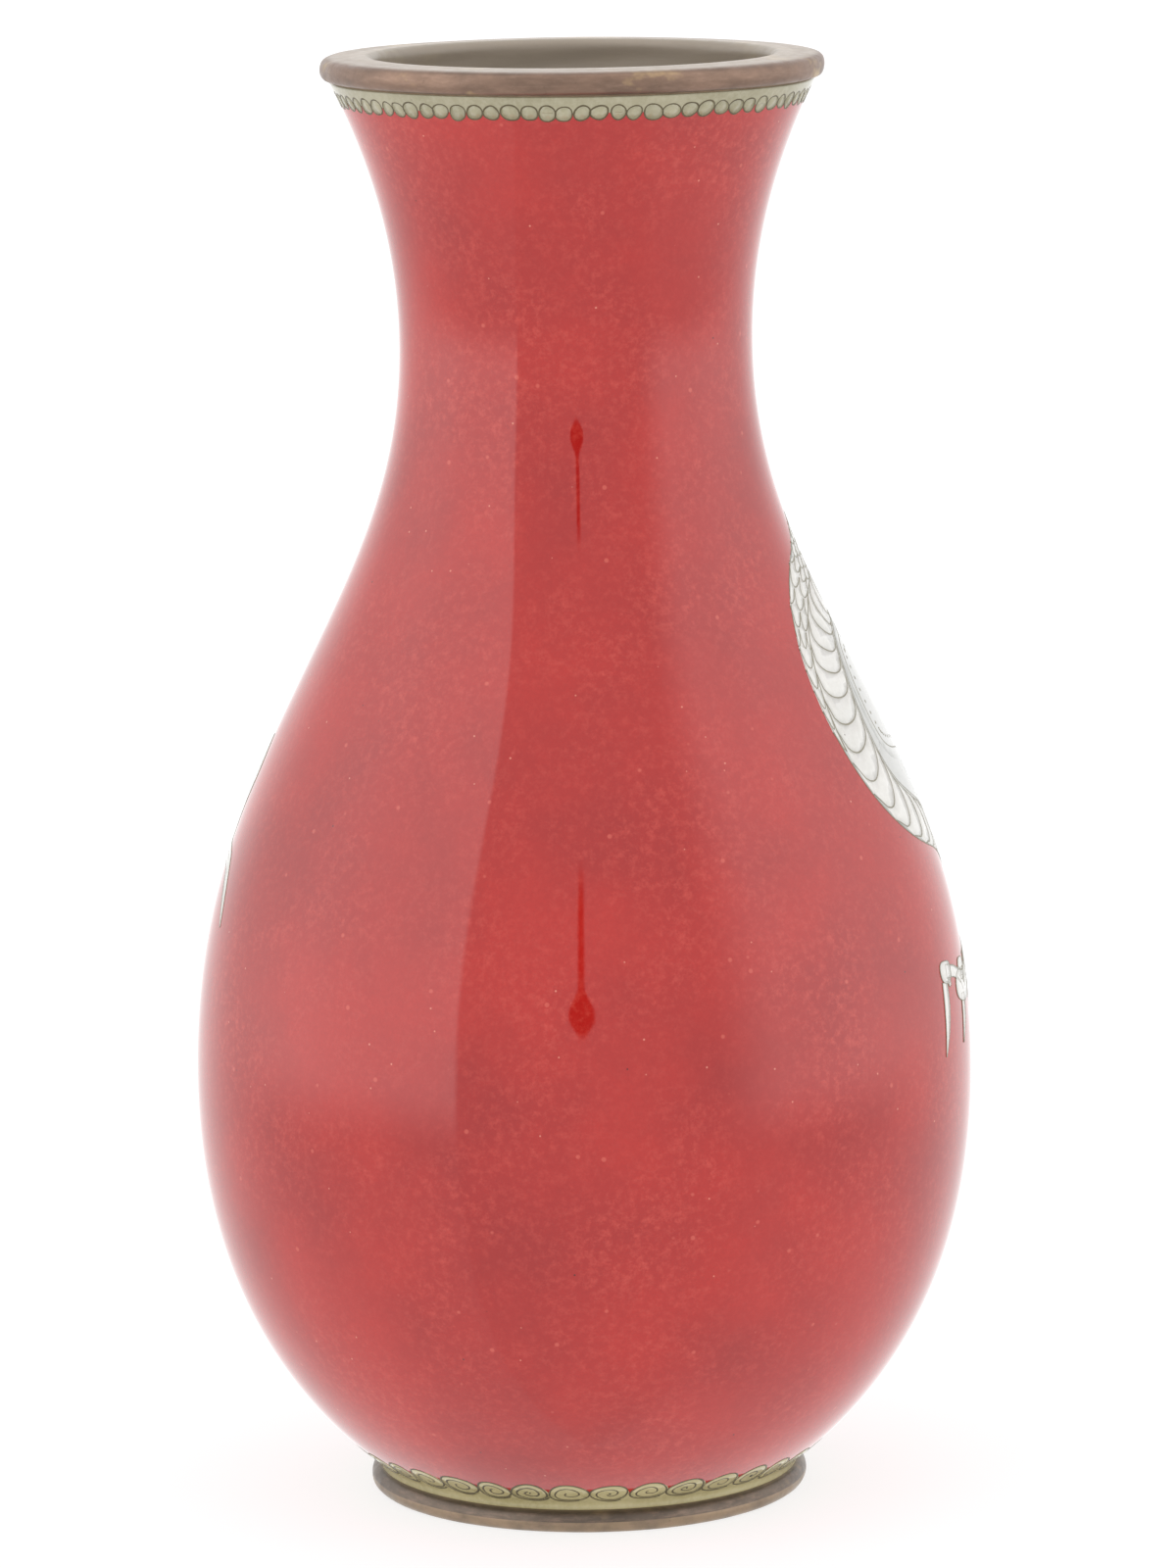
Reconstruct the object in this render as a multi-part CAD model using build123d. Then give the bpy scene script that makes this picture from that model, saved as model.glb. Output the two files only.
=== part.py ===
from build123d import *

import os
from bisect import bisect
from math import cos, hypot, pi, radians, sin

# A cloisonne vase: a spun copper vessel, lined and covered with glass enamel. Flat wires
# on edge fence every patch of colour, and all is ground flush. Bare metal binds foot and rim.
# Frame: +Z up the axis, z = 0 at the table under the centre, front of the vase towards -Y.
# A place on the wall is (turn, z): turn in degrees from the front, growing towards +X.
# Local shapes on the wall are in mm, as (right, up) seen from outside.

# Driving dimensions, mm
HEIGHT = 184.0
FOOT_RING_HEIGHT = 3.0
FOOT_RING_RADIUS = 28.1
FOOT_RECESS_RADIUS = 23.5
COLLAR_HEIGHT = 3.0
COLLAR_RADIUS = 31.65
COLLAR_SLOPE = 0.2
MOUTH_RADIUS = 25.0
SKIRT_WALL = 0.9
SKIRT_DEPTH = 8.3
SOLDER_HEIGHT = 0.25
SOLDER_SETBACK = 0.2
ENAMEL = 0.9
COPPER = 0.9
LINING = 0.4
WIRE = 0.3
FLOOR_Z = 5.5
FLOOR = 1.0

BODY_BOTTOM = FOOT_RING_HEIGHT + SOLDER_HEIGHT
BODY_TOP = HEIGHT - COLLAR_HEIGHT - SOLDER_HEIGHT

# Outside of the enamel from foot to rim, as (radius, z); both ends run on under the metal.
PROFILE = [
    (23.9, 1.5), (26.1, 3), (34.1, 10), (43.5, 24), (49.55, 52), (45.35, 82),
    (33.95, 108), (24.7, 130), (22.3, 149), (25.05, 167), (30.6, 181), (31.6, 183),
]
PROFILE_STEPS = 40

# Borders: a row of oval rings under the rim, a row of spirals over the foot
RINGS = 80
RING_Z = 178.68
RING_WIDTH = 2.2
RING_RISE = 1.9
ROUND_SIDES = 12
SPIRALS = 37
SPIRAL_Z = 5.55
SPIRAL_RADIUS = 2.45
SPIRAL_PITCH = 0.85
SPIRAL_START = -60
SPIRAL_SWEEP = 765
SPIRAL_STEP = 45
BAND_TOP = 5.0

# Dragon's body from the head, as (turn, z, width); it circles the vase behind its front.
SPINE = [
    (176, 99, 12.5), (158, 108, 13.5), (138, 115.5, 14.5), (118, 119, 14.5), (100, 119.5, 14.2),
    (83.7, 116.3, 13.6), (73.5, 113.4, 13.1), (67.8, 108, 12.6), (66.4, 102.5, 12.3),
    (69, 95.6, 12), (74.7, 91.9, 12.4), (88.6, 88.9, 14), (103, 83.5, 16), (118, 73.5, 17.5),
    (134, 61.5, 18.5), (153, 51.5, 18.5), (175, 46, 18), (198, 44.5, 17), (220, 48, 15),
    (239, 55.5, 12.5), (252, 64.5, 9.5), (260, 75, 6.5), (264, 84, 4),
]
SEGMENTS = 20
PLATES_PER_SEGMENT = 2
SPINE_LENGTH = 215.0
SEGMENT_SIDES = 3
LAP = 0.008
LAP_SHARE = 0.8
LAP_NOTCH = 0.2
# Belly band between two lines along the body: (how far along, left line, right line),
# where -1 and 1 are the body's left and right edges, facing from head to tail.
BELLY = [
    (0, -1, -0.45), (0.17, -1, -0.4), (0.27, -0.69, 0.2), (0.305, -0.69, 0.38),
    (0.33, -0.62, 0.72), (0.355, -0.4, 0.97), (0.38, -0.1, 1), (0.414, 0.12, 1),
    (0.457, 0.3, 1), (1, 0.3, 1),
]

# The inner flank fills the front of the body's loop: shares of the body it hangs between
FLANK = (0.24, 0.44)
FLANK_SIDES = 12
FLANK_ACROSS = -0.75

# Fin spikes: (first segment, last segment, body edge)
FINS = [(1, 3, 1), (9, 18, -1)]
FIN_SHAPE = [(-2.2, -1), (2.4, 4), (2.2, -1)]

HEAD_AT = (190, 95)
HEAD = [
    (-9.5, -3.5), (-9, 3), (-4.5, 7.2), (0, 8), (3.2, 6), (7.5, 4.6), (11, 6.4), (14, 5.6),
    (14.6, 2.6), (11.5, 1), (7, 0.4), (3.6, -1.2), (0.5, -4.6), (-4, -6.8), (-8, -6.2),
]
JAW = [
    (-4, -6.2), (1.5, -4.2), (5, -3.6), (9, -3.4), (12.2, -1.6), (13.2, -3.6), (10.8, -6.4),
    (6.5, -8.2), (1, -8.6), (-3.5, -8),
]
EYE_AT = (2.4, 3.5)
EYE_RADIUS = 1.4

# Tapering strokes, as (right, up, width) stations
TONGUE = [(1, -2.8, 1.2), (6, -1.6, 1.7), (10.5, -1.1, 1.3), (14, 0.6, 0.4)]
HORNS = [
    [(-2.5, 7, 2.6), (-8, 11, 2.3), (-15, 13, 1.6), (-21, 11.5, 0.4)],
    [(-5, 6, 2.4), (-10.5, 8.3, 2), (-16.5, 8.6, 1.4), (-21, 6.5, 0.4)],
]
MANE = [
    [(-7, 4, 3), (-13, 4.8, 3.4), (-19, 2.4, 2.4), (-25, 3.5, 0.4)],
    [(-8, 1, 3.2), (-14, 0.6, 3.6), (-20, -3, 2.6), (-26, -2.6, 0.4)],
    [(-8.5, -2, 3.2), (-14, -4.2, 3.6), (-19, -8.4, 2.6), (-25, -8.8, 0.4)],
    [(-7.5, -5, 3), (-11, -9, 3.4), (-14.5, -13.5, 2.4), (-20, -15, 0.4)],
    [(-5, -7, 2.8), (-6.5, -12, 3.2), (-9, -17, 2.2), (-13.5, -20, 0.4)],
    [(0, -8, 2.4), (0.5, -12, 2.6), (-1.5, -16.5, 1.8), (-5, -20, 0.4)],
    [(4, -8, 2.2), (5.5, -12, 2.2), (5, -16, 1.5), (2.5, -19.5, 0.4)],
]
WHISKERS = [
    [(13.5, 2, 0.4), (18.5, 1, 0.4), (22.5, 5, 0.4), (20.5, 10.5, 0.4), (24, 15, 0.4)],
    [(12, 6, 0.4), (15, 11, 0.4), (20, 13.5, 0.4), (21, 19, 0.4), (26, 23, 0.4)],
]
# Each leg: hip, stations from the hip, where the paw sits, and the way its toes turn
LEGS = [
    ((103, 80), [(0, 0, 9), (-1.5, -6, 8), (-5, -10.5, 6.4), (-10, -12.8, 5), (-15.5, -13, 4.4)],
     (-19.4, -13.2), 0),
    ((145, 57), [(0, 0, 9), (6, 7, 8), (13, 9, 6), (19, 7.5, 4.8), (23, 8.5, 5)],
     (25.5, 9), 80),
    ((205, 46), [(0, 0, 10), (6, -5, 8.5), (5.5, -11, 6), (0, -14.5, 4.8), (-4, -17, 5)],
     (-5.5, -19), -30),
    ((236, 55), [(0, 0, 8), (3.5, 8, 7.5), (-0.5, 15, 5.5), (-5, 18.5, 4.5), (-7, 22, 4.8)],
     (-8.5, 24.5), -150),
]
PAW = [
    (-4.6, -1.2), (-4.4, 0.2), (-5.2, 0.9), (-6.6, 1), (-9, 0.8), (-10.2, 1.4), (-10.1, 3.2),
    (-7.9, 3.5), (-6.4, 2.8), (-3.5, 2.2), (-1.9, 1.8), (0.3, 2.6), (1.7, 2.1), (3, 1.3),
    (5.2, 1.4), (6.6, 1.6), (8.6, 2.1), (10, 1.7), (10.2, 0.3), (9.6, -0.5), (7.5, -0.5),
    (6.6, 0), (5, -0.6), (3.4, -2.6), (0.4, -3.1), (-2.4, -2.6),
]
# Each toe: the root of its claw, and the claw's reach
TOES = [((-9.4, 1), (-2, -9.2)), ((-1.2, -1.9), (-2, -6)), ((9.4, -0.3), (1.6, -8.6))]
# A claw's stations, as (share of the reach to the right, share of it up, width)
CLAW = [(0, 0, 2.1), (0.1, 0.3, 2.1), (0.45, 0.65, 1.5), (1, 1, 0.4)]
TAIL_AT = (266, 84)
TAIL = [
    [(0, -1, 3), (-3, 6, 3.4), (-2, 12, 2.4), (-5, 17, 0.4)],
    [(0, -1, 3), (1.5, 6, 3.2), (3.5, 10, 2.2), (2, 15, 0.4)],
    [(0, -1, 3), (5, -1, 2.6), (8.5, -1.6, 2.3), (10.8, -3.4, 2), (12.6, -5.6, 1.6),
     (14.8, -9.2, 0.4)],
]
FLAME = [(0, 0, 0.5), (3.5, 2.6, 2.6), (8, 1.4, 2.2), (11, 4, 1.2), (15, 5, 0.4)]
# Flames: (place, angle)
FLAMES = [((104, 98), 8), ((137, 84), -25), ((217, 68), 100), ((160, 30), 12), ((246, 92), 150)]

# A cutter runs between these distances from the axis; smaller crumbs are dropped
NEAR = 14.0
FAR = 60.0
SMALLEST = 0.15


def profile_curve(depth):
    """The enamel's outside, moved into the wall by depth."""
    outside = Spline(*[(radius, 0, z) for radius, z in PROFILE])
    if depth == 0:
        return outside
    points = []
    for step in range(PROFILE_STEPS + 1):
        place = outside @ (step / PROFILE_STEPS)
        along = outside % (step / PROFILE_STEPS)
        points.append(place + Vector(-along.Z, 0, along.X) * depth)
    return Spline(*points)


def slab(low, high):
    """Half section of everything between two heights."""
    reach = 2 * COLLAR_RADIUS
    return Plane.XZ * Pos(reach / 2, (low + high) / 2) * Rectangle(reach, high - low)


def inside(depth, low, high):
    """Half section from the axis out to a depth under the enamel's outside."""
    curve = profile_curve(depth)
    foot = curve @ 0
    rim = curve @ 1
    axis_low = Vector(0, 0, foot.Z)
    axis_high = Vector(0, 0, rim.Z)
    edges = [curve, Line(rim, axis_high), Line(axis_high, axis_low), Line(axis_low, foot)]
    return make_face(edges) & slab(low, high)


def section(*edges):
    """Half section inside (radius, z) edges."""
    return Plane.XZ * make_face(edges)


def turned(half_section):
    """Revolves a half section, with its seam at the front, between two border cells."""
    return revolve(half_section, Axis.Z).rotate(Axis.Z, -90)


class Wall:
    """Radius and slope of the enamel's outside at any height."""

    samples = 400

    def __init__(self):
        curve = profile_curve(0)
        places = [curve @ (step / self.samples) for step in range(self.samples + 1)]
        self.heights = [place.Z for place in places]
        self.radii = [place.X for place in places]

    def radius(self, z):
        after = min(max(bisect(self.heights, z), 1), self.samples)
        low = self.heights[after - 1]
        share = (z - low) / (self.heights[after] - low)
        return self.radii[after - 1] + share * (self.radii[after] - self.radii[after - 1])

    def stretch(self, z):
        """Length along the wall per unit of height."""
        return hypot(1, self.radius(z + 0.5) - self.radius(z - 0.5))

    def at(self, place, shift):
        """The place that lies a local (right, up) shift away from a place."""
        turn, z = place
        right, up = shift
        z += up / self.stretch(z)
        return (turn + right / radians(self.radius(z)), z)


WALL = Wall()


def cutter(outline):
    """A prism that cuts an outline of places out of the wall, square to its middle."""
    turns = [turn for turn, _ in outline]
    middle = (min(turns) + max(turns)) / 2
    corners = [(WALL.radius(z) * sin(radians(turn - middle)), -NEAR, z) for turn, z in outline]
    face = make_face(Polyline(*corners, close=True))
    return extrude(face, amount=FAR - NEAR, dir=(0, -1, 0)).rotate(Axis.Z, middle)


def turn_shift(shift, angle):
    right, up = shift
    turn = radians(angle)
    return (right * cos(turn) - up * sin(turn), right * sin(turn) + up * cos(turn))


def blob(place, points, angle=0, grow=0.0):
    """A closed outline given by its local corners, grown outwards."""
    count = len(points)
    pairs = [(points[i], points[(i + 1) % count]) for i in range(count)]
    area = sum(a[0] * b[1] - a[1] * b[0] for a, b in pairs)
    side = 1 if area > 0 else -1
    outline = []
    for index, corner in enumerate(points):
        before = Vector(*corner) - Vector(*points[index - 1])
        after = Vector(*points[(index + 1) % count]) - Vector(*corner)
        outward = [Vector(way.Y, -way.X) * (side / way.length) for way in (before, after)]
        both = outward[0] + outward[1]
        moved = Vector(*corner) + both * (2 * grow / both.length**2)
        outline.append(WALL.at(place, turn_shift((moved.X, moved.Y), angle)))
    return outline


def stroke(place, stations, angle=0, grow=0.0, steps=4):
    """Outline of a tapering stroke along (right, up, width) stations."""
    spine = Spline(*stations)
    sides = ([], [])
    for step in range(steps + 1):
        middle = spine @ (step / steps)
        along = spine % (step / steps)
        length = hypot(along.X, along.Y)
        ahead = {0: -grow, steps: grow}.get(step, 0)
        for side, sign in zip(sides, (-1, 1)):
            reach = sign * (middle.Z / 2 + grow)
            right = middle.X + (along.X * ahead - along.Y * reach) / length
            up = middle.Y + (along.Y * ahead + along.X * reach) / length
            side.append(WALL.at(place, turn_shift((right, up), angle)))
    return sides[0] + sides[1][::-1]


class Spine:
    """The dragon's body as a ribbon along the wall."""

    def __init__(self):
        self.curve = Spline(*SPINE)

    def at(self, share, across, grow=0.0):
        """The place at a share of the length and across it, from -1 left to 1 right."""
        middle = self.curve @ share
        along = self.curve % share
        ahead = (along.X * radians(WALL.radius(middle.Y)), along.Y * WALL.stretch(middle.Y))
        reach = (middle.Z / 2 * across + grow) / hypot(*ahead)
        return WALL.at((middle.X, middle.Y), (ahead[1] * reach, -ahead[0] * reach))

    def heading(self, share):
        """Angle of the way to the tail, from local right."""
        middle = self.curve @ share
        along = self.curve % share
        ahead = Vector(along.X * radians(WALL.radius(middle.Y)), along.Y * WALL.stretch(middle.Y))
        return Vector(1, 0, 0).get_signed_angle(ahead, Vector(0, 0, 1))

    def belly(self, share):
        """Left and right lines of the belly band."""
        for (start, left, right), (end, next_left, next_right) in zip(BELLY, BELLY[1:]):
            if share <= end:
                part = (share - start) / (end - start)
                return (left + part * (next_left - left), right + part * (next_right - right))
        return BELLY[-1][1:]

    def panel(self, start, end, edges, inset, parts=1):
        """Outline of a panel of the body; edges(share) gives its left and right lines."""
        gap = inset / SPINE_LENGTH
        shares = [start + gap + (end - start - 2 * gap) * part / parts for part in range(parts + 1)]
        left = [self.at(share, edges(share)[0], inset) for share in shares]
        right = [self.at(share, edges(share)[1], -inset) for share in shares]
        return left + right[::-1]

    def silhouette(self, start, end, lapped):
        """Outline of one length of the body with its wires; a lapped one starts under the last."""
        shares = [start + (end - start) * part / SEGMENT_SIDES for part in range(SEGMENT_SIDES + 1)]
        reaches = [WIRE / 2] * len(shares)
        left, right = [], []
        if lapped:
            reaches[0] -= LAP_NOTCH
            left.append(self.at(start - LAP, -LAP_SHARE))
            right.append(self.at(start - LAP, LAP_SHARE))
        left += [self.at(share, -1, -reach) for share, reach in zip(shares, reaches)]
        right += [self.at(share, 1, reach) for share, reach in zip(shares, reaches)]
        return left + right[::-1]


BODY = Spine()


def body_pieces():
    """Each length of the body: its silhouette, then the cells inside it."""
    pieces = []
    for index in range(SEGMENTS):
        start = index / SEGMENTS
        end = (index + 1) / SEGMENTS
        silhouette = BODY.silhouette(start, end, index > 0)
        left, right = BODY.belly((start + end) / 2)
        cells = []
        if left > -0.9:
            flank = BODY.panel(start, end, lambda share: (-1, BODY.belly(share)[0]), WIRE / 2, 2)
            cells.append(("dragon_scale_enamel", flank))
        if right < 0.95:
            flank = BODY.panel(start, end, lambda share: (BODY.belly(share)[1], 1), WIRE / 2, 2)
            cells.append(("dragon_scale_enamel", flank))
        for plate in range(PLATES_PER_SEGMENT):
            first = start + (end - start) * plate / PLATES_PER_SEGMENT
            last = start + (end - start) * (plate + 1) / PLATES_PER_SEGMENT
            cells.append(("dragon_belly_enamel", BODY.panel(first, last, BODY.belly, WIRE / 2)))
        pieces.append(("dragon_body_wires", silhouette, cells))
    return pieces


def inner_flank():
    """The flank inside the body's loop: hung under its edge, with a wire down its back."""
    first, last = FLANK
    shares = [first + (last - first) * part / FLANK_SIDES for part in range(FLANK_SIDES + 1)]
    outline = [BODY.at(share, FLANK_ACROSS) for share in shares]
    back = [WALL.at(outline[0], (-WIRE, 0)), WALL.at(outline[-1], (-WIRE, 0))]
    fill = [back[0]] + outline[1:-1] + [back[1]]
    return [("dragon_body_wires", outline, [("dragon_scale_enamel", fill)])]


def cell(fill, wires, shape, *where):
    """A single fenced cell: its silhouette holds the wire, and the fill is the plain shape."""
    return (wires, shape(*where, grow=WIRE), [(fill, shape(*where))])


def fin_pieces():
    pieces = []
    for first, last, edge in FINS:
        for index in range(2 * first, 2 * last + 2):
            share = (index + 0.5) / SEGMENTS / 2
            angle = BODY.heading(share)
            shape = [(right, -edge * up) for right, up in FIN_SHAPE]
            place = BODY.at(share, edge)
            pieces.append(cell("dragon_fin_enamel", "dragon_fin_wires", blob, place, shape, angle))
    return pieces


def head_pieces():
    eye_spot = WALL.at(HEAD_AT, EYE_AT)
    eye = [(EYE_RADIUS * cos(k * pi / 4), EYE_RADIUS * sin(k * pi / 4)) for k in range(8)]
    pieces = [
        cell("dragon_eye_enamel", "dragon_head_wires", blob, eye_spot, eye),
        cell("dragon_head_enamel", "dragon_head_wires", blob, HEAD_AT, HEAD),
        cell("dragon_tongue_enamel", "dragon_head_wires", stroke, HEAD_AT, TONGUE),
        cell("dragon_jaw_enamel", "dragon_head_wires", blob, HEAD_AT, JAW),
    ]
    for horn in HORNS:
        pieces.append(cell("dragon_horn_enamel", "dragon_horn_wires", stroke, HEAD_AT, horn))
    for lock in MANE:
        pieces.append(cell("dragon_mane_enamel", "dragon_mane_wires", stroke, HEAD_AT, lock))
    for whisker in WHISKERS:
        pieces.append(("dragon_whisker_wires", stroke(HEAD_AT, whisker, steps=6), []))
    return pieces


def leg_pieces():
    pieces = []
    for hip, stations, wrist, angle in LEGS:
        paw = WALL.at(hip, wrist)
        for root, (right, up) in TOES:
            nail = WALL.at(paw, turn_shift(root, angle))
            claw = [(right * across, up * along, width) for across, along, width in CLAW]
            pieces.append(cell("dragon_claw_enamel", "dragon_leg_wires", stroke, nail, claw, angle))
        pieces.append(cell("dragon_paw_enamel", "dragon_leg_wires", blob, paw, PAW, angle))
        pieces.append(cell("dragon_leg_enamel", "dragon_leg_wires", stroke, hip, stations))
    return pieces


def loose_pieces():
    tail = [cell("dragon_tail_enamel", "dragon_tail_wires", stroke, TAIL_AT, lock) for lock in TAIL]
    flames = [
        cell("flame_enamel", "flame_wires", stroke, place, FLAME, angle) for place, angle in FLAMES
    ]
    return tail + flames


def apart(box, other):
    """True when two bounding boxes don't meet."""
    return any(
        low > other_high or other_low > high
        for low, high, other_low, other_high in zip(box.min, box.max, other.min, other.max)
    )


def keep(nodes, name, shape):
    """Keeps a shape's solids under a node, without crumbs."""
    if shape:
        nodes.setdefault(name, []).extend(s for s in shape.solids() if s.volume > SMALLEST)


def inlay(shell, pieces, nodes):
    """Cuts the pieces out of the shell, the first on top, and returns their silhouettes."""
    done = []
    for wires, silhouette, cells in pieces:
        outer = cutter(silhouette)
        whole = shell & outer
        box = whole.bounding_box()
        above = [other_cutter for other, other_cutter in done if not apart(box, other)]
        block = whole - above if above else whole
        done.append((box, outer))
        if not block.solids():
            continue
        fills = [(fill, cutter(outline)) for fill, outline in cells]
        for fill, fill_cutter in fills:
            keep(nodes, fill, block & fill_cutter)
        keep(nodes, wires, block - [fill_cutter for _, fill_cutter in fills] if fills else block)
    return [outer for _, outer in done]


def around(shape, count):
    """Copies of a shape all round the vase, the first half a step off the seam."""
    return [shape.rotate(Axis.Z, 360 / count * (index + 0.5)) for index in range(count)]


def rounded(half_width, half_height):
    turns = [2 * pi * (k + 0.5) / ROUND_SIDES for k in range(ROUND_SIDES)]
    return [(half_width * cos(turn), half_height * sin(turn)) for turn in turns]


def ring_border(shell, nodes):
    """Oval wire rings filled with enamel; returns the cutters of the whole row."""
    oval = rounded(RING_WIDTH / 2, RING_RISE / 2)
    outer = cutter(blob((0, RING_Z), oval))
    inner = cutter(blob((0, RING_Z), oval, grow=-WIRE))
    block = shell & outer
    nodes["ring_wires"] = around(block - inner, RINGS)
    nodes["ring_enamel"] = around(block & inner, RINGS)
    return around(outer, RINGS)


def spiral_channel():
    """Outline of the enamel between the turns of a spiral wire, from the middle outwards."""
    sides = ([], [])
    last = SPIRAL_RADIUS - WIRE
    for angle in range(0, SPIRAL_SWEEP + 1, SPIRAL_STEP):
        edge = last - SPIRAL_PITCH * (SPIRAL_SWEEP - angle) / 360
        turn = radians(SPIRAL_START + angle)
        for side, radius in zip(sides, (edge, edge - SPIRAL_PITCH + WIRE)):
            if radius > 0:
                side.append(WALL.at((0, SPIRAL_Z), (radius * cos(turn), radius * sin(turn))))
    return sides[0] + sides[1][::-1]


def spiral_border(shell, nodes):
    """Spiral wires and the enamel between their turns; returns the row's cutters."""
    outer = cutter(blob((0, SPIRAL_Z), rounded(SPIRAL_RADIUS, SPIRAL_RADIUS)))
    inner = cutter(spiral_channel())
    block = shell & outer
    nodes["spiral_wires"] = around(block - inner, SPIRALS)
    nodes["spiral_enamel"] = around(block & inner, SPIRALS)
    return around(outer, SPIRALS)


def enamel_nodes():
    """The outer enamel and its wires, all between the same two surfaces."""
    nodes = {}
    coat = inside(0, BODY_BOTTOM, BODY_TOP) - inside(ENAMEL, 0, HEIGHT)
    foot_coat = turned(coat & slab(0, BAND_TOP))
    ground_coat = turned(coat & slab(BAND_TOP, RING_Z))
    neck_coat = turned(coat & slab(RING_Z, HEIGHT))
    shell = turned(coat)
    rings = ring_border(shell, nodes)
    spirals = spiral_border(shell, nodes)
    pieces = head_pieces() + leg_pieces() + body_pieces() + fin_pieces() + loose_pieces()
    pieces += inner_flank()
    silhouettes = inlay(shell, pieces, nodes)
    keep(nodes, "ground_enamel", ground_coat - silhouettes - rings - spirals)
    keep(nodes, "neck_band_enamel", neck_coat - rings)
    keep(nodes, "foot_band_enamel", foot_coat - spirals)
    return nodes


def copper_body():
    """The spun vessel: an open wall over a flat floor, set back from its foot edge."""
    wall = inside(ENAMEL, BODY_BOTTOM, BODY_TOP)
    hollow = inside(ENAMEL + COPPER, FLOOR_Z + FLOOR, HEIGHT)
    recess = inside(ENAMEL + COPPER, 0, FLOOR_Z)
    return turned(wall - hollow - recess)


def lining_enamel():
    """Enamel over the whole inside of the vessel."""
    bottom = FLOOR_Z + FLOOR
    coat = inside(ENAMEL + COPPER, bottom, BODY_TOP)
    return turned(coat - inside(ENAMEL + COPPER + LINING, bottom + LINING, HEIGHT))


def base_enamel():
    """Enamel under the floor, inside the foot."""
    return turned(inside(ENAMEL + COPPER, FLOOR_Z - LINING, FLOOR_Z))


def foot_ring():
    """Half-round metal band that the vase stands on."""
    inner = FOOT_RECESS_RADIUS
    outer = FOOT_RING_RADIUS
    top = FOOT_RING_HEIGHT
    foot = (outer - 0.45, 0)
    shoulder = (outer - 0.35, 0.78 * top)
    lip = (outer - 1.7, top)
    return turned(section(
        Line((inner, 0), foot),
        ThreePointArc(foot, (outer, 0.4 * top), shoulder),
        TangentArc(lip, shoulder, tangent=(1, 0)),
        Line(lip, (inner, top)),
        Line((inner, top), (inner, 0)),
    ))


def rim_collar():
    """Metal mouth ring: a wide lip with a bulging edge, and a straight skirt into the neck."""
    under = HEIGHT - COLLAR_HEIGHT
    skirt = HEIGHT - SKIRT_DEPTH
    edge = (COLLAR_RADIUS - 0.65, HEIGHT - COLLAR_SLOPE)
    waist = (COLLAR_RADIUS - 0.65, under)
    sleeve = MOUTH_RADIUS + SKIRT_WALL
    return turned(section(
        Line((MOUTH_RADIUS, HEIGHT), edge),
        ThreePointArc(edge, (COLLAR_RADIUS, HEIGHT - 0.45 * COLLAR_HEIGHT), waist),
        Line(waist, (sleeve, under)),
        Line((sleeve, under), (sleeve, skirt)),
        Line((sleeve, skirt), (MOUTH_RADIUS, skirt)),
        Line((MOUTH_RADIUS, skirt), (MOUTH_RADIUS, HEIGHT)),
    ))


def solder(low, high):
    """Seam of solder between the enamelled body's edge and a metal ring."""
    seam = inside(SOLDER_SETBACK, low, high) - inside(ENAMEL + COPPER, 0, HEIGHT)
    return turned(seam)


def write(name, solids):
    shape = solids[0] if len(solids) == 1 else Compound(children=solids)
    shape.label = name
    export_step(shape, f"parts/{name}.step")


def build():
    os.makedirs("parts", exist_ok=True)
    nodes = enamel_nodes()
    keep(nodes, "copper_body", copper_body())
    keep(nodes, "lining_enamel", lining_enamel())
    keep(nodes, "base_enamel", base_enamel())
    keep(nodes, "foot_ring", foot_ring())
    keep(nodes, "rim_collar", rim_collar())
    keep(nodes, "foot_solder", solder(FOOT_RING_HEIGHT, BODY_BOTTOM))
    keep(nodes, "rim_solder", solder(BODY_TOP, HEIGHT - COLLAR_HEIGHT))
    for name, solids in nodes.items():
        write(name, solids)


build()
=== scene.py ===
import math
import random

import bpy
import numpy as np
from mathutils import Matrix, Vector
from mathutils.bvhtree import BVHTree
from mathutils.geometry import delaunay_2d_cdt


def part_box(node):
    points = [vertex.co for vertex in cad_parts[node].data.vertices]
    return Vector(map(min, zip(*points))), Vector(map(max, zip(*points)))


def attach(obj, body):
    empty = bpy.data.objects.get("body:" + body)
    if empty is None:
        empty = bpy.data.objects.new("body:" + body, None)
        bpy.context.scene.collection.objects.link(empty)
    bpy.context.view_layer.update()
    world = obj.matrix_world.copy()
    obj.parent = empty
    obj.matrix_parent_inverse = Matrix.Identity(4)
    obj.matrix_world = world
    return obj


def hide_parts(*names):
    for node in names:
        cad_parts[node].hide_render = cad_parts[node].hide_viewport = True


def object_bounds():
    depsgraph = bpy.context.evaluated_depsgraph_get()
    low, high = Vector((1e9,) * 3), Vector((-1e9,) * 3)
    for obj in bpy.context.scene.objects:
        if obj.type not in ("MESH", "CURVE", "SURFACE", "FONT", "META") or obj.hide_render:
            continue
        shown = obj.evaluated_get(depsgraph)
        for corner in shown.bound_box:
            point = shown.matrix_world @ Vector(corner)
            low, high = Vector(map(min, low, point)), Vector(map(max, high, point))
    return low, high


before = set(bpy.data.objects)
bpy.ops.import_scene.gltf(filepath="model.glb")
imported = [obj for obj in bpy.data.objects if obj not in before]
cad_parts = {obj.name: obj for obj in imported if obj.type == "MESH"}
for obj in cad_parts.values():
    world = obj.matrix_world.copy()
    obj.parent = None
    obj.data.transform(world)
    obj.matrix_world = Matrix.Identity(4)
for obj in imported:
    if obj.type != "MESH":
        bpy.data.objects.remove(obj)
CAD_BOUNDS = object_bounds()

# A cloisonne vase. Shapes are worked out in millimetres and meshes are written in metres.
# A place on the wall is (turn, z): turn in degrees from the front (-Y), growing towards +X.
# Local shapes on the wall are (right, up) in mm, seen from outside.
MM = 0.001
CAD_TOP = float(CAD_BOUNDS[1][2]) / MM
FOOT_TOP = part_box("foot_ring")[1].z / MM
rng = random.Random(228)
np_rng = np.random.default_rng(228)


# ---------------------------------------------------------------- curves

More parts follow.
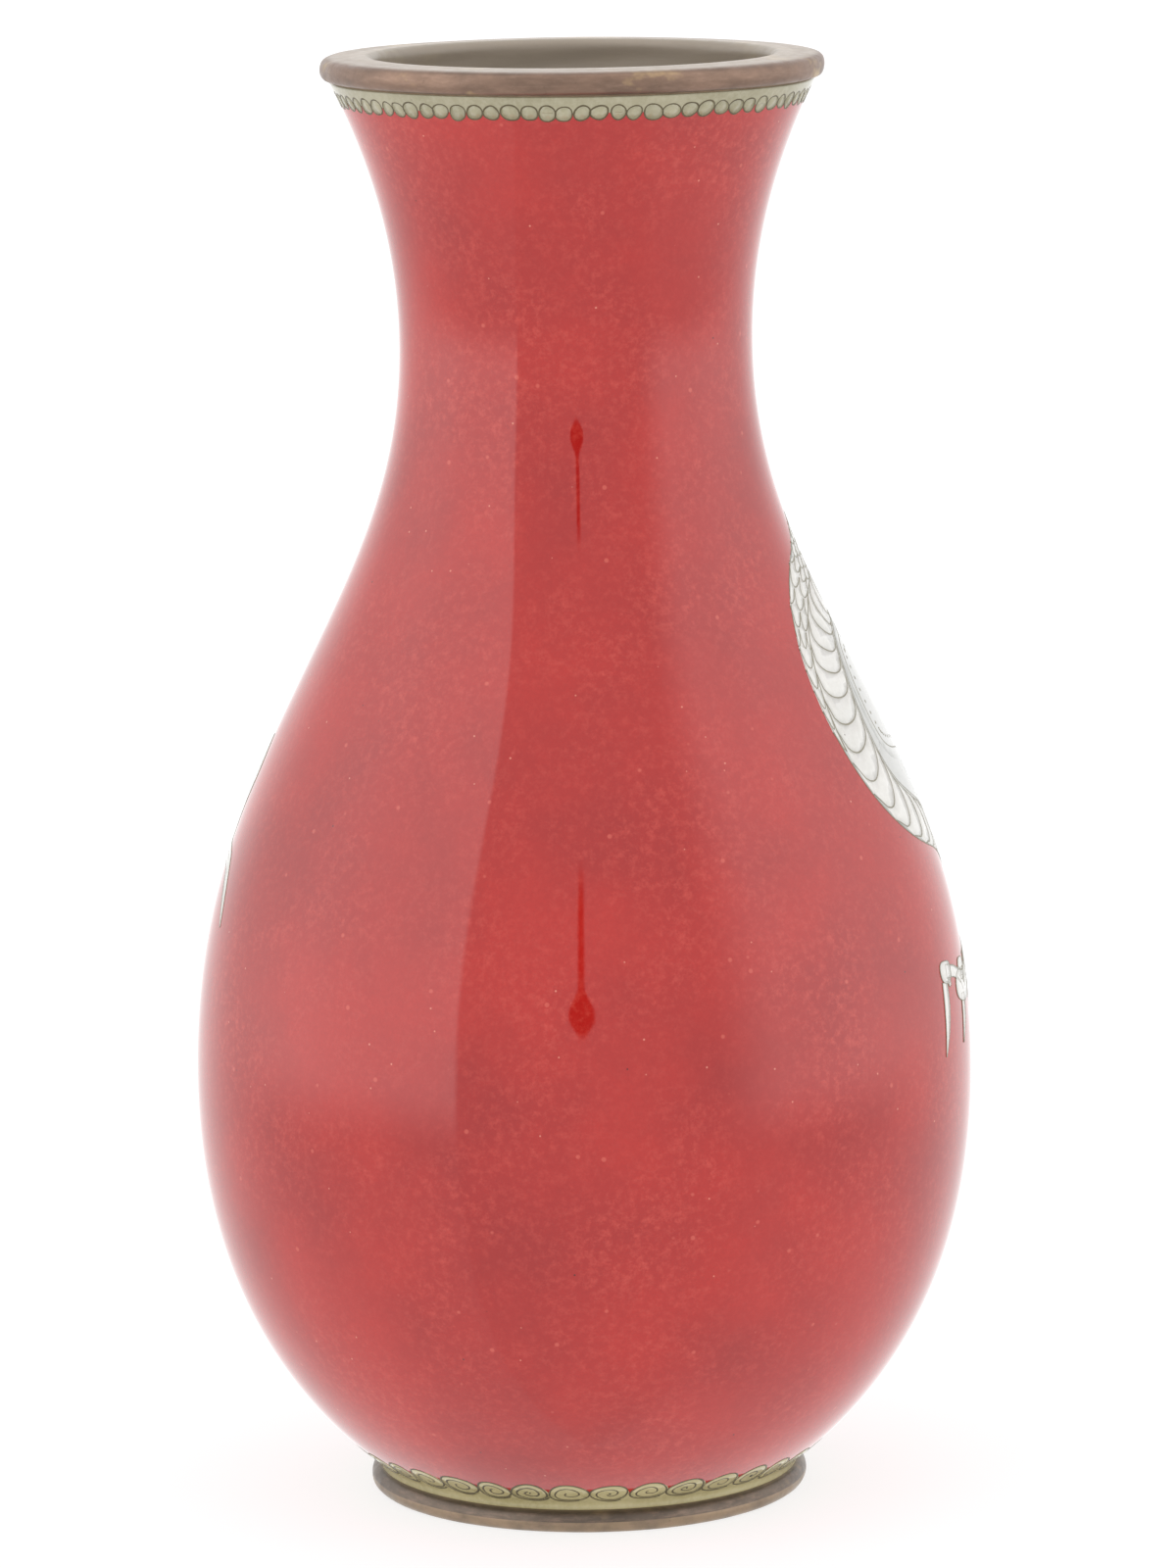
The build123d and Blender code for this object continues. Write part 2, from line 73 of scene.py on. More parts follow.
def smooth_curve(points, samples, closed=False):
    """A natural cubic spline through the points, as evenly spread rows."""
    points = np.asarray(points, float)
    if closed:
        lead = min(4, len(points))
        points = np.vstack([points[-lead:], points, points[:lead + 1]])
    steps = np.linalg.norm(np.diff(points, axis=0), axis=1)
    knots = np.concatenate([[0], np.cumsum(steps)])
    count = len(points)
    matrix = np.eye(count)
    right = np.zeros_like(points)
    for i in range(1, count - 1):
        before = knots[i] - knots[i - 1]
        after = knots[i + 1] - knots[i]
        matrix[i, i - 1:i + 2] = [before, 2 * (before + after), after]
        right[i] = 6 * ((points[i + 1] - points[i]) / after - (points[i] - points[i - 1]) / before)
    bend = np.linalg.solve(matrix, right)
    start, end = knots[0], knots[-1]
    if closed:
        start, end = knots[lead], knots[count - 1 - lead]
    at = np.linspace(start, end, samples, endpoint=not closed)
    cell = np.clip(np.searchsorted(knots, at, side="right") - 1, 0, count - 2)
    width = (knots[cell + 1] - knots[cell])[:, None]
    low = (at - knots[cell])[:, None]
    high = width - low
    rows = (bend[cell] * high**3 + bend[cell + 1] * low**3) / (6 * width)
    rows += (points[cell] / width - bend[cell] * width / 6) * high
    rows += (points[cell + 1] / width - bend[cell + 1] * width / 6) * low
    return rows


def stroke_outline(stations, samples=24):
    """Closed outline of a tapering stroke along (right, up, width) stations."""
    rows = smooth_curve(stations, samples)
    along = np.gradient(rows[:, :2], axis=0)
    along /= np.linalg.norm(along, axis=1)[:, None]
    side = np.stack([-along[:, 1], along[:, 0]], axis=1)
    reach = side * (np.maximum(rows[:, 2:3], 0.05) / 2)
    return np.vstack([rows[:, :2] + reach, (rows[:, :2] - reach)[::-1]])


def turned_local(points, angle):
    """Local points turned anticlockwise by an angle in degrees."""
    points = np.asarray(points, float)
    turn = math.radians(angle)
    spin = np.array([[math.cos(turn), math.sin(turn)], [-math.sin(turn), math.cos(turn)]])
    return points @ spin


# ---------------------------------------------------------------- the wall

class Wall:
    """The vase's outer surface, read from the CAD enamel nodes and smoothed."""

    def __init__(self, names):
        vertices, faces = [], []
        for name in names:
            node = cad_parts[name]
            faces += [[len(vertices) + i for i in face.vertices] for face in node.data.polygons]
            vertices += [node.matrix_world @ vertex.co for vertex in node.data.vertices]
        tree = BVHTree.FromPolygons(vertices, faces)
        self.low = min(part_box(name)[0].z for name in names) / MM
        self.high = max(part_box(name)[1].z for name in names) / MM
        heights = np.linspace(self.low + 0.02, self.high - 0.02, 140)
        radii = [max(self.reach(tree, z, turn) for turn in range(-60, 45, 7)) for z in heights]
        self.radius = np.polynomial.Chebyshev.fit(heights, radii, 18)
        self.slope = self.radius.deriv()
        self.z_table = np.linspace(self.low - 2, self.high + 2, 4000)
        lengths = np.hypot(1, self.slope(np.clip(self.z_table, self.low, self.high)))
        self.s_table = np.concatenate([[0], np.cumsum(np.diff(self.z_table) * lengths[1:])])
        waves = np_rng.integers(1, 9, 14)
        self.waves = [(int(w), np_rng.uniform(-0.16, 0.16), np_rng.uniform(0, 6.3)) for w in waves]

    @staticmethod
    def reach(tree, z, turn):
        way = Vector((math.sin(math.radians(turn)), -math.cos(math.radians(turn)), 0))
        hit = tree.ray_cast(way * 0.2 + Vector((0, 0, z * MM)), -way)
        return math.hypot(hit[0].x, hit[0].y) / MM if hit[0] else 0.0

    def length(self, z):
        """Distance along the wall from the foot."""
        return np.interp(z, self.z_table, self.s_table)

    def height(self, length):
        return np.interp(length, self.s_table, self.z_table)

    def place(self, origin, points):
        """(turn, z) rows of local (right, up) points around an origin place."""
        points = np.asarray(points, float)
        z = self.height(self.length(origin[1]) + points[:, 1])
        return np.stack([origin[0] + np.degrees(points[:, 0] / self.radius(z)), z], axis=1)

    def flat(self, places, middle):
        """Undistorted flat (x, y) in mm of places near a middle place."""
        scale = self.radius(middle[1])
        return np.stack([np.radians(places[:, 0] - middle[0]) * scale, self.length(places[:, 1])], axis=1)

    def unflat(self, flat, middle):
        scale = self.radius(middle[1])
        return np.stack([middle[0] + np.degrees(flat[:, 0] / scale), self.height(flat[:, 1])], axis=1)

    def uneven(self, turn, z):
        """Slow hand-made unevenness of the wall."""
        total = np.zeros(np.broadcast(turn, z).shape)
        for count, rise, phase in self.waves:
            total += np.sin(np.radians(turn) * count + z * rise + phase)
        return 0.011 * total

    def point(self, turn, z, lift=0.0):
        """Points in metres, lifted along the wall's normal by lift mm."""
        turn = np.asarray(turn, float)
        z = np.asarray(z, float)
        slope = self.slope(z)
        stretch = np.hypot(1, slope)
        lift = lift + self.uneven(turn, z)
        radius = self.radius(z) + lift / stretch
        rise = z - lift * slope / stretch
        angle = np.radians(turn)
        return np.stack([radius * np.sin(angle), -radius * np.cos(angle), rise], axis=-1) * MM


ENAMEL_NODES = [
    "ground_enamel", "neck_band_enamel", "foot_band_enamel", "ring_wires", "ring_enamel",
    "spiral_wires", "spiral_enamel",
]
WALL = Wall(ENAMEL_NODES)


# ---------------------------------------------------------------- meshes

def make_piece(name, vertices, faces, material, tints=None):
    mesh = bpy.data.meshes.new(name)
    mesh.from_pydata([tuple(v) for v in vertices], [], faces)
    mesh.validate()
    if tints is not None:
        layer = mesh.attributes.new("tint", "FLOAT", "POINT")
        layer.data.foreach_set("value", np.asarray(tints, np.float32))
    mesh.polygons.foreach_set("use_smooth", [True] * len(mesh.polygons))
    mesh.materials.append(material)
    piece = bpy.data.objects.new(name, mesh)
    bpy.context.scene.collection.objects.link(piece)
    return piece


def stand_in(piece, node):
    """Puts a piece in a CAD node's place, hiding the node."""
    # Blender adds a number, such as .001, to a name that the CAD's materials already use
    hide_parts(node)
    return piece


def lathe(name, rings, material, segments=360):
    """A closed skin of revolution through rings, each a function of turn giving points."""
    turns = np.linspace(0, 360, segments, endpoint=False)
    vertices = np.concatenate([ring(turns) for ring in rings])
    faces = []
    count = len(rings)
    for row in range(count):
        base = row * segments
        above = (row + 1) % count * segments
        for k in range(segments):
            after = (k + 1) % segments
            faces.append((base + k, base + after, above + after, above + k))
    return make_piece(name, vertices, faces, material, tints=np.full(len(vertices), 0.5))


def wall_ring(z, lift):
    return lambda turns: WALL.point(turns, np.full_like(turns, z), lift)


def metal_ring(radius, z, rough):
    """One ring of a turned metal part, with handmade waver of about rough mm."""
    def ring(turns):
        angle = np.radians(turns)
        waver = np.sin(3 * angle + z) + 0.6 * np.sin(7 * angle + 2 * z + 1)
        waver += 0.4 * np.sin(19 * angle + radius)
        grown = radius + rough * waver
        lifted = np.clip(z + 0.4 * rough * np.sin(5 * angle + radius), 0.0, CAD_TOP)
        return np.stack([grown * np.sin(angle), -grown * np.cos(angle), lifted], axis=-1) * MM
    return ring


CELL_DEPTH = 0.25
# Half a wire's section: how far out, in half widths, and how far below its top
WIRE_SECTION = [(-1, -0.3), (-1, -0.02), (-0.55, 0), (0.55, 0), (1, -0.02), (1, -0.3)]


class Group:
    """Many small shapes on the wall that become one piece."""

    def __init__(self, lift):
        self.lift = lift
        self.vertices, self.faces, self.tints = [], [], None

    def piece(self, name, material, node, slot=None):
        return stand_in(make_piece(name, self.vertices, self.faces, material, self.tints), node)


class Cells(Group):
    """Thin closed patches of enamel that lie on the wall."""

    def __init__(self, lift, spacing=1.2):
        super().__init__(lift)
        self.spacing = spacing
        self.tints = []

    def add(self, places, tint=0.5):
        """Adds one cell with a closed outline of places."""
        places = np.asarray(places, float)
        middle = (places.min(0) + places.max(0)) / 2
        flat = WALL.flat(places, middle)
        every = np.vstack([flat, self.grid(flat)])
        count = len(flat)
        edges = [(i, (i + 1) % count) for i in range(count)]
        found = delaunay_2d_cdt([Vector(p) for p in every], edges, [list(range(count))], 1, 1e-5)
        corners = WALL.unflat(np.array([tuple(v) for v in found[0]]), middle)
        self.put(corners, [tuple(face) for face in found[2]], tint)

    def put(self, corners, triangles, tint):
        """Adds a closed slab over flat triangles."""
        base = len(self.vertices)
        count = len(corners)
        for lift in (self.lift, self.lift - CELL_DEPTH):
            self.vertices += list(WALL.point(*corners.T, lift))
        self.tints += [tint] * (2 * count)
        sides = {}
        for face in triangles:
            self.faces.append(tuple(base + i for i in face))
            self.faces.append(tuple(base + count + i for i in reversed(face)))
            for a, b in zip(face, face[1:] + face[:1]):
                if not sides.pop((b, a), False):
                    sides[(a, b)] = True
        for a, b in sides:
            self.faces.append((base + b, base + a, base + count + a, base + count + b))

    def grid(self, flat):
        """Points inside an outline, on a grid, a little away from its edge."""
        low, high = flat.min(0), flat.max(0)
        size = high - low
        if min(size) < 2 * self.spacing:
            return np.zeros((0, 2))
        xs = np.arange(low[0], high[0], self.spacing)
        ys = np.arange(low[1], high[1], self.spacing)
        spots = np.stack(np.meshgrid(xs, ys), axis=-1).reshape(-1, 2)
        inside = inside_outline(spots, flat)
        gaps = np.linalg.norm(spots[:, None, :] - flat[None, :, :], axis=2).min(1)
        return spots[inside & (gaps > 0.45 * self.spacing)]


def inside_outline(spots, outline):
    """Which spots lie inside a closed outline."""
    inside = np.zeros(len(spots), bool)
    ends = np.roll(outline, -1, axis=0)
    for a, b in zip(outline, ends):
        if a[1] == b[1]:
            continue
        crosses = (a[1] > spots[:, 1]) != (b[1] > spots[:, 1])
        at = a[0] + (spots[:, 1] - a[1]) * (b[0] - a[0]) / (b[1] - a[1])
        inside ^= crosses & (spots[:, 0] < at)
    return inside


class Wires(Group):
    """Flat wires standing on edge in the enamel, their tops ground nearly flush."""

    def __init__(self, lift, width):
        super().__init__(lift)
        self.width = width

    def add(self, places, closed=False, width=None):
        """Adds one wire along places, with a slightly uneven width."""
        places = np.asarray(places, float)
        middle = places.mean(0)
        flat = WALL.flat(places, middle)
        if closed:
            along = np.roll(flat, -1, axis=0) - np.roll(flat, 1, axis=0)
        else:
            along = np.gradient(flat, axis=0)
        along /= np.maximum(np.linalg.norm(along, axis=1), 1e-9)[:, None]
        side = np.stack([-along[:, 1], along[:, 0]], axis=1)
        waver = 1 + 0.1 * np.sin(np.arange(len(flat)) * 0.9 + rng.uniform(0, 6))
        half = (width or self.width) / 2 * waver[:, None]
        base = len(self.vertices)
        for reach, drop in WIRE_SECTION:
            row = WALL.unflat(flat + side * half * reach, middle)
            self.vertices += list(WALL.point(*row.T, self.lift + drop))
        self.skin(base, len(flat), closed)

    def skin(self, base, count, closed):
        """Faces round the rows of a wire, and its two ends when it is open."""
        rows = len(WIRE_SECTION)
        for k in range(rows):
            near = base + k * count
            far = base + (k + 1) % rows * count
            for i in range(count if closed else count - 1):
                after = (i + 1) % count
                self.faces.append((near + i, far + i, far + after, near + after))
        if not closed:
            for i, order in ((0, 1), (count - 1, -1)):
                self.faces.append(tuple(base + k * count + i for k in range(rows))[::order])


# ---------------------------------------------------------------- materials

def rgba(colour):
    """An sRGB colour, 0 to 255, as a linear RGBA value."""
    linear = [(c / 255 / 12.92) if c <= 10 else ((c / 255 + 0.055) / 1.055) ** 2.4 for c in colour]
    return (*linear, 1.0)


class Graph:
    """Short ways to add nodes to the tree of a material or the world."""

    def __init__(self, tree):
        self.nodes = tree.nodes
        self.links = tree.links

    def put(self, entry, value):
        """Links an output to an entry, or sets a plain value there."""
        if isinstance(value, bpy.types.NodeSocket):
            self.links.new(value, entry)
        else:
            entry.default_value = value

    def node(self, kind, *values):
        """A new node with values in its first entries."""
        made = self.nodes.new("ShaderNode" + kind)
        for entry, value in zip(made.inputs, values):
            self.put(entry, value)
        return made

    def math(self, kind, *values):
        made = self.node("Math", *values)
        made.operation = kind
        return made.outputs[0]


class Shader(Graph):
    """A material's node tree round one principled surface."""

    def __init__(self, name):
        self.material = bpy.data.materials.new(name)
        self.material.use_nodes = True
        super().__init__(self.material.node_tree)
        self.surface = self.nodes["Principled BSDF"]
        self.place = self.node("TexCoord").outputs["Object"]

    def set(self, **values):
        for name, value in values.items():
            self.put(self.surface.inputs[name.replace("_", " ")], value)

    def noise(self, size_mm, detail=3.0, rough=0.55, stretch=(1, 1, 1)):
        """Noise whose features are about size_mm across."""
        spread = self.node("Mapping", self.place)
        spread.inputs["Scale"].default_value = stretch
        noise = self.node("TexNoise", spread.outputs["Vector"])
        entries = {"Scale": 1 / (size_mm * MM), "Detail": detail, "Roughness": rough}
        for name, value in entries.items():
            noise.inputs[name].default_value = value
        return noise.outputs["Fac"]

    def patches(self, stops, *look):
        """A ramp over noise of a certain look."""
        return self.ramp(self.noise(*look), stops)

    def spots(self, size_mm, radius, rarity):
        """1 inside round specks, one in about rarity cells, else 0."""
        cells = self.node("TexVoronoi", self.place)
        cells.inputs["Scale"].default_value = 1 / (size_mm * MM)
        near = self.ramp(cells.outputs["Distance"], [(radius * 0.6, 1), (radius, 0)])
        red = self.node("SeparateColor", cells.outputs["Color"]).outputs["Red"]
        return self.math("MULTIPLY", near, self.math("GREATER_THAN", red, 1 - 1 / rarity))

    def ramp(self, value, stops):
        """Grey ramp over a value; stops are (position, grey)."""
        made = self.node("ValToRGB", value)
        for element, (position, grey) in zip(made.color_ramp.elements, stops):
            element.position = position
            element.color = (grey, grey, grey, 1)
        return made.outputs["Color"]

    def mix(self, amount, low, high, share=1.0):
        """Blend from a low to a high colour, by a share of the amount."""
        made = self.nodes.new("ShaderNodeMix")
        made.data_type = "RGBA"
        if share != 1.0:
            amount = self.math("MULTIPLY", amount, share)
        for index, value in ((0, amount), (6, low), (7, high)):
            self.put(made.inputs[index], rgba(value) if isinstance(value, tuple) else value)
        return made.outputs[2]

    def bump(self, height, depth_mm, strength=1.0):
        made = self.nodes.new("ShaderNodeBump")
        entries = {"Distance": depth_mm * MM, "Strength": strength, "Height": height}
        for name, value in entries.items():
            self.put(made.inputs[name], value)
        self.set(Normal=made.outputs["Normal"])

    def height(self):
        """Height above the table, in mm."""
        return self.math("MULTIPLY", self.node("SeparateXYZ", self.place).outputs["Z"], 1 / MM)

    def reach(self):
        """Distance from the vase's axis, in mm."""
        split = self.node("SeparateXYZ", self.place).outputs
        squares = [self.math("MULTIPLY", split[axis], split[axis]) for axis in "XY"]
        return self.math("MULTIPLY", self.math("SQRT", self.math("ADD", *squares)), 1 / MM)


PIT = (70, 60, 50)
RED_PIT = (70, 18, 18)
STREAK = (150, 124, 108)
GRIME = (62, 48, 40)
MOUTH_RADIUS = 26.6


def enamel(name, base, pale, dark):
    """Polished opaque glass enamel: mottled colour, fine grain, pits and soft gloss."""
    shader = Shader(name)
    colour = shader.mix(shader.patches([(0.35, 0), (0.65, 1)], 14, 3), dark, base)
    grain = shader.patches([(0.42, 0), (0.72, 1)], 0.8, 4, 0.7)
    colour = shader.mix(grain, colour, pale, 0.45)
    tint = shader.node("Attribute")
    tint.attribute_name = "tint"
    above = shader.math("SUBTRACT", tint.outputs["Fac"], 0.5)
    shade = shader.math("ADD", shader.math("MULTIPLY", above, 0.5), 1.0)
    gain = shader.node("VectorMath", colour)
    gain.operation = "SCALE"
    shader.put(gain.inputs["Scale"], shade)
    colour = shader.mix(shader.spots(2.4, 0.055, 3), gain.outputs["Vector"], PIT)
    shader.set(Base_Color=colour, Roughness=shader.patches([(0.3, 0.12 * 0.7), (0.7, 0.12 * 1.6)], 3, 4))
    shader.bump(shader.noise(1.5, 3), 0.006)
    return shader.material


def red_enamel():
    """The ground: deep red glass with fine pale grain, clouds, specks and tiny pits."""
    shader = Shader("red_enamel")
    cloud = shader.patches([(0.33, 0), (0.66, 1)], 19, 4)
    colour = shader.mix(cloud, (158, 30, 28), (179, 36, 30))
    grain = shader.patches([(0.47, 0), (0.68, 1)], 1.0, 5, 0.75)
    patch = shader.patches([(0.38, 0.14), (0.66, 0.6)], 15, 3)
    colour = shader.mix(shader.math("MULTIPLY", grain, patch), colour, (206, 80, 68))
    fine = shader.patches([(0.4, 0), (0.66, 1)], 0.4, 3, 0.8)
    colour = shader.mix(fine, colour, (148, 22, 21), 0.28)
    colour = shader.mix(shader.spots(3.6, 0.1, 2.2), colour, (220, 108, 92), 0.4)
    colour = shader.mix(shader.spots(2.6, 0.06, 3.2), colour, (236, 160, 138), 0.55)
    colour = shader.mix(shader.spots(6.1, 0.024, 1.8), colour, RED_PIT)
    shader.set(Base_Color=colour, Roughness=shader.patches([(0.3, 0.03), (0.75, 0.06)], 6, 4))
    shader.bump(shader.noise(2.4, 3), 0.0025)
    return shader.material


def wire_metal(name, dark, bright):
    shader = Shader(name)
    gloss = shader.patches([(0.3, 0.3), (0.7, 0.55)], 0.6, 3)
    shader.set(Base_Color=shader.mix(shader.noise(1.1, 4), dark, bright), Roughness=gloss, Metallic=0.35)
    return shader.material


def bare_metal(name, brown, brass, worn_share, top, low_tone=None, inner_tone=None):
    """Old copper alloy: brown patina, streaks run round the turning, brassy worn places, and a painted
    highlight on the top face.
    """
    shader = Shader(name)
    patina = shader.patches([(0.3, 0), (0.7, 1)], 7, 5, 0.65, (1, 1, 2.2))
    colour = shader.mix(patina, brown, tuple(0.78 * c for c in brown))
    if low_tone:
        low = shader.math("LESS_THAN", shader.height(), 1.5)
        soft = shader.math("MULTIPLY", low, shader.patches([(0.3, 0.4), (0.6, 1)], 3, 4))
        colour = shader.mix(soft, colour, low_tone)
    streak = shader.patches([(0.48, 0), (0.75, 0.45)], 2.6, 6, 0.7, (1, 1, 5))
    colour = shader.mix(streak, colour, STREAK)
    worn = shader.patches([(worn_share, 0), (worn_share + 0.12, 1)], 9, 4, 0.6, (1, 1, 1.6))
    colour = shader.mix(worn, colour, brass, 0.75)
    colour = shader.mix(shader.patches([(0.26, 1), (0.38, 0)], 1.2, 5, 0.8), colour, GRIME, 0.6)
    # Painted highlight: just below the height in top, the colour is mixed towards top's pale colour,
    # standing in for light on the top face.
    edge = shader.math("SUBTRACT", shader.height(), top[0] - 1)
    colour = shader.mix(shader.ramp(edge, [(0.72, 0), (0.94, 0.6)]), colour, top[1])
    metallic = 0.6
    if inner_tone:
        depth = shader.math("DIVIDE", shader.reach(), MOUTH_RADIUS)
        inner = shader.ramp(depth, [(0.965, 1), (0.985, 0)])
        colour = shader.mix(inner, colour, inner_tone, 0.85)
        metallic = shader.math("SUBTRACT", 0.6, shader.math("MULTIPLY", inner, 0.6))
    gloss = shader.patches([(0.25, 0.26), (0.75, 0.5)], 1.6, 5, 0.7)
    shader.set(Base_Color=colour, Roughness=gloss, Metallic=metallic)
    shader.bump(shader.noise(1.8, 6, 0.7, (1, 1, 3)), 0.05, 0.6)
    return shader.material


def plain_shader(name, one, other, size_mm, rough, metallic=0.0, depth_mm=0.03):
    """Uneven dull surface for linings, solder and hidden metal."""
    shader = Shader(name)
    colour = shader.mix(shader.patches([(0.3, 0), (0.7, 1)], size_mm, 5, 0.6), one, other)
    gloss = shader.patches([(0.3, rough * 0.8), (0.7, rough * 1.2)], size_mm / 3, 4)
    shader.set(Base_Color=colour, Roughness=gloss, Metallic=metallic)
    shader.bump(shader.noise(size_mm / 2, 4), depth_mm)
    return shader.material


RED = red_enamel()
CELADON = enamel("celadon_enamel", (186, 176, 132), (202, 193, 154), (168, 158, 114))
NECK_CELADON = enamel("neck_celadon_enamel", (167, 161, 134), (186, 181, 158), (150, 144, 116))
WIRE = wire_metal("cloison_wire", (74, 66, 45), (100, 90, 65))
PALE_WIRE = wire_metal("dragon_wire", (114, 110, 94), (144, 138, 120))
# Each top pair gives a metal part's top height and the colour of the painted highlight on its top face.
COLLAR_METAL = bare_metal("collar_copper", (132, 106, 90), (178, 152, 110), 0.55,
                          inner_tone=(154, 143, 128), top=(CAD_TOP, (196, 186, 172)))
FOOT_METAL = bare_metal("foot_copper", (103, 90, 79), (140, 118, 92), 0.62,
                        low_tone=(138, 118, 96), top=(FOOT_TOP, (156, 140, 122)))
LINING = plain_shader("lining_enamel", (158, 150, 134), (132, 126, 114), 9, 0.28, 0.0, 0.06)
SOLDER = plain_shader("dark_solder", (128, 108, 88), (154, 132, 108), 2, 0.6, 0.3)
HIDDEN_COPPER = plain_shader("vessel_copper", (140, 84, 58), (110, 62, 44), 6, 0.4, 0.9)
WHITE = enamel("white_enamel", (226, 224, 219), (236, 234, 230), (214, 212, 206))
GREY = enamel("grey_enamel", (204, 204, 200), (216, 216, 212), (190, 191, 187))
PINK = enamel("pink_enamel", (190, 122, 112), (206, 146, 134), (170, 98, 90))
DARK = enamel("dark_enamel", (38, 36, 38), (52, 50, 50), (26, 24, 26))


# ---------------------------------------------------------------- vessel

NECK_RINGS = 80
FOOT_SPIRALS = 37
RING_STRETCH = 1.26
SPIRAL_EYE_SHARE = 0.35
FLARE_HEIGHT = 0.85
FLARE = 0.8
MOUTH_WALL = 6.65
FOOT_WALL = 4.6


def closed_cell(cells, wires, places, tint=0.5, wire_width=0.26):
    """One cell of enamel with a wire all round it."""
    cells.add(places, tint)
    wires.add(places, closed=True, width=wire_width)


def place_lines(wires, origin, lines, angle=0.0, width=0.2, samples=14):
    for line in lines:
        wires.add(WALL.place(origin, turned_local(smooth_curve(line, samples), angle)), width=width)


def disc(radius, samples=16):
    angles = np.linspace(0, 2 * np.pi, samples, endpoint=False)
    return np.stack([radius * np.cos(angles), radius * np.sin(angles)], axis=1)

def build_ground():
    low, high = WALL.low + 0.25, WALL.high - 0.25
    outer = [wall_ring(z, 0.0) for z in np.linspace(low, high, 180)]
    inner = [wall_ring(z, -0.8) for z in np.linspace(high, low, 24)]
    return stand_in(lathe("ground_coat", outer + inner, RED), "ground_enamel")


def band(name, low, high, material, flare=0.0):
    """A thin collar of enamel around the wall between two heights, flared at its lower edge."""
    heights = np.linspace(low, high, 16)
    lifts = 0.012 + flare * np.clip(1 - (heights - low) / FLARE_HEIGHT, 0, 1) ** 2
    outer = [wall_ring(z, lift) for z, lift in zip(heights, lifts)]
    inner = [wall_ring(z, -0.86) for z in heights[::-1]]
    return lathe(name, outer + inner, material)


def outline_lathe(name, outline, material, rough, samples):
    """A turned metal part from a closed smooth (radius, z) outline."""
    rows = smooth_curve(outline, samples, closed=True)
    return lathe(name, [metal_ring(radius, z, rough) for radius, z in rows[::-1]], material, 420)


def uneven_row(count, spread):
    """Turns of a hand-laid row and each cell's own pitch, which add up to a full circle."""
    pitches = 1 + np_rng.uniform(-spread, spread, count)
    pitches *= 360 / pitches.sum()
    return np.cumsum(pitches) - pitches / 2, pitches


def row_middle(node, raised=0.0):
    """Middle height of a border's row of cells, and how tall the row is along the wall."""
    low, high = (corner.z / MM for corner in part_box(node))
    middle = (low + high) / 2 + raised
    return middle, (high - low) * math.hypot(1, WALL.slope(middle))


def squared(wave, squareness):
    return np.sign(wave) * np.abs(wave) ** squareness


def ring_border():
    """Small hand-bent wire rings in a row, no two quite alike, filled with celadon."""
    middle, tall = row_middle("ring_wires", 0.1)
    tall *= RING_STRETCH
    cells = Cells(0.02)
    wires = Wires(0.034, 0.2)
    angles = np.linspace(0, 2 * np.pi, 30, endpoint=False)
    for turn, pitch in zip(*uneven_row(NECK_RINGS, 0.1)):
        lean = rng.uniform(-0.4, 0.4)
        squareness = rng.uniform(0.85, 1.1)
        dent = rng.uniform(0, 0.2)
        wide = math.radians(pitch) * WALL.radius(middle) / 2 * rng.uniform(0.93, 1.03) - 0.06
        high_half = tall / 2 * rng.uniform(0.88, 1.04) - 0.08
        right = squared(np.cos(angles), squareness) * wide
        up = squared(np.sin(angles), squareness) * high_half
        right = right * (1 - dent * np.sin(angles + rng.uniform(0, 6))) + lean * up * 0.5
        spot = (turn, middle + rng.uniform(-0.1, 0.08))
        places = WALL.place(spot, np.stack([right, up], axis=1))
        cells.add(places, 0.56 + rng.uniform(-0.12, 0.12))
        wires.add(places, closed=True, width=rng.uniform(0.15, 0.24))
    return [
        cells.piece("neck_ring_cells", NECK_CELADON, "ring_enamel"),
        wires.piece("neck_ring_wirework", WIRE, "ring_wires"),
        stand_in(band("neck_celadon_band", middle, WALL.high, NECK_CELADON), "neck_band_enamel"),
    ]


def spiral_path(half):
    """One hand-bent spiral from its eye outwards, as local points in a half-size box."""
    turns = rng.uniform(2.2, 2.7)
    start = math.radians(rng.uniform(-70, -20))
    angles = np.linspace(0, turns * 2 * np.pi, 100)
    eye = rng.uniform(0.08, 0.2)
    grow = np.clip(angles / (angles[-1] - 1.4 * np.pi), 0, 1) ** rng.uniform(0.85, 1.1)
    grow = eye + (1 - eye) * grow
    wave = 1 + 0.05 * np.sin(3 * angles + rng.uniform(0, 6))
    about = start + angles - angles[-1]
    return np.stack([np.cos(about), np.sin(about)], axis=1) * half * (grow * wave)[:, None]


def spiral_border():
    """Loose wire spirals side by side over the foot, like a row of small waves."""
    middle, tall = row_middle("spiral_wires")
    cells = Cells(0.02, spacing=1.0)
    wires = Wires(0.034, 0.2)
    dots = Cells(0.036)
    for turn, pitch in zip(*uneven_row(FOOT_SPIRALS, 0.07)):
        spot = (turn, middle + rng.uniform(-0.08, 0.08))
        width = math.radians(pitch) * WALL.radius(middle)
        half_wide = width / 2 * rng.uniform(0.98, 1.06) - 0.06
        half = np.array([half_wide, tall / 2 * rng.uniform(0.94, 1.03) - 0.08])
        wires.add(WALL.place(spot, spiral_path(half)), width=rng.uniform(0.22, 0.3))
        cells.add(WALL.place(spot, disc(1, 32) * half), 0.5 + rng.uniform(-0.1, 0.14))
        if rng.random() < SPIRAL_EYE_SHARE:
            dots.add(WALL.place(spot, disc(rng.uniform(0.14, 0.26), 10)))
    edge = band("foot_celadon_band", WALL.low, middle - 0.4, CELADON, FLARE)
    return [
        cells.piece("foot_spiral_cells", CELADON, "spiral_enamel"),
        wires.piece("foot_spiral_wirework", WIRE, "spiral_wires"),
        dots.piece("foot_spiral_eyes", DARK, "spiral_wires", "wire"),
        stand_in(edge, "foot_band_enamel"),
    ]


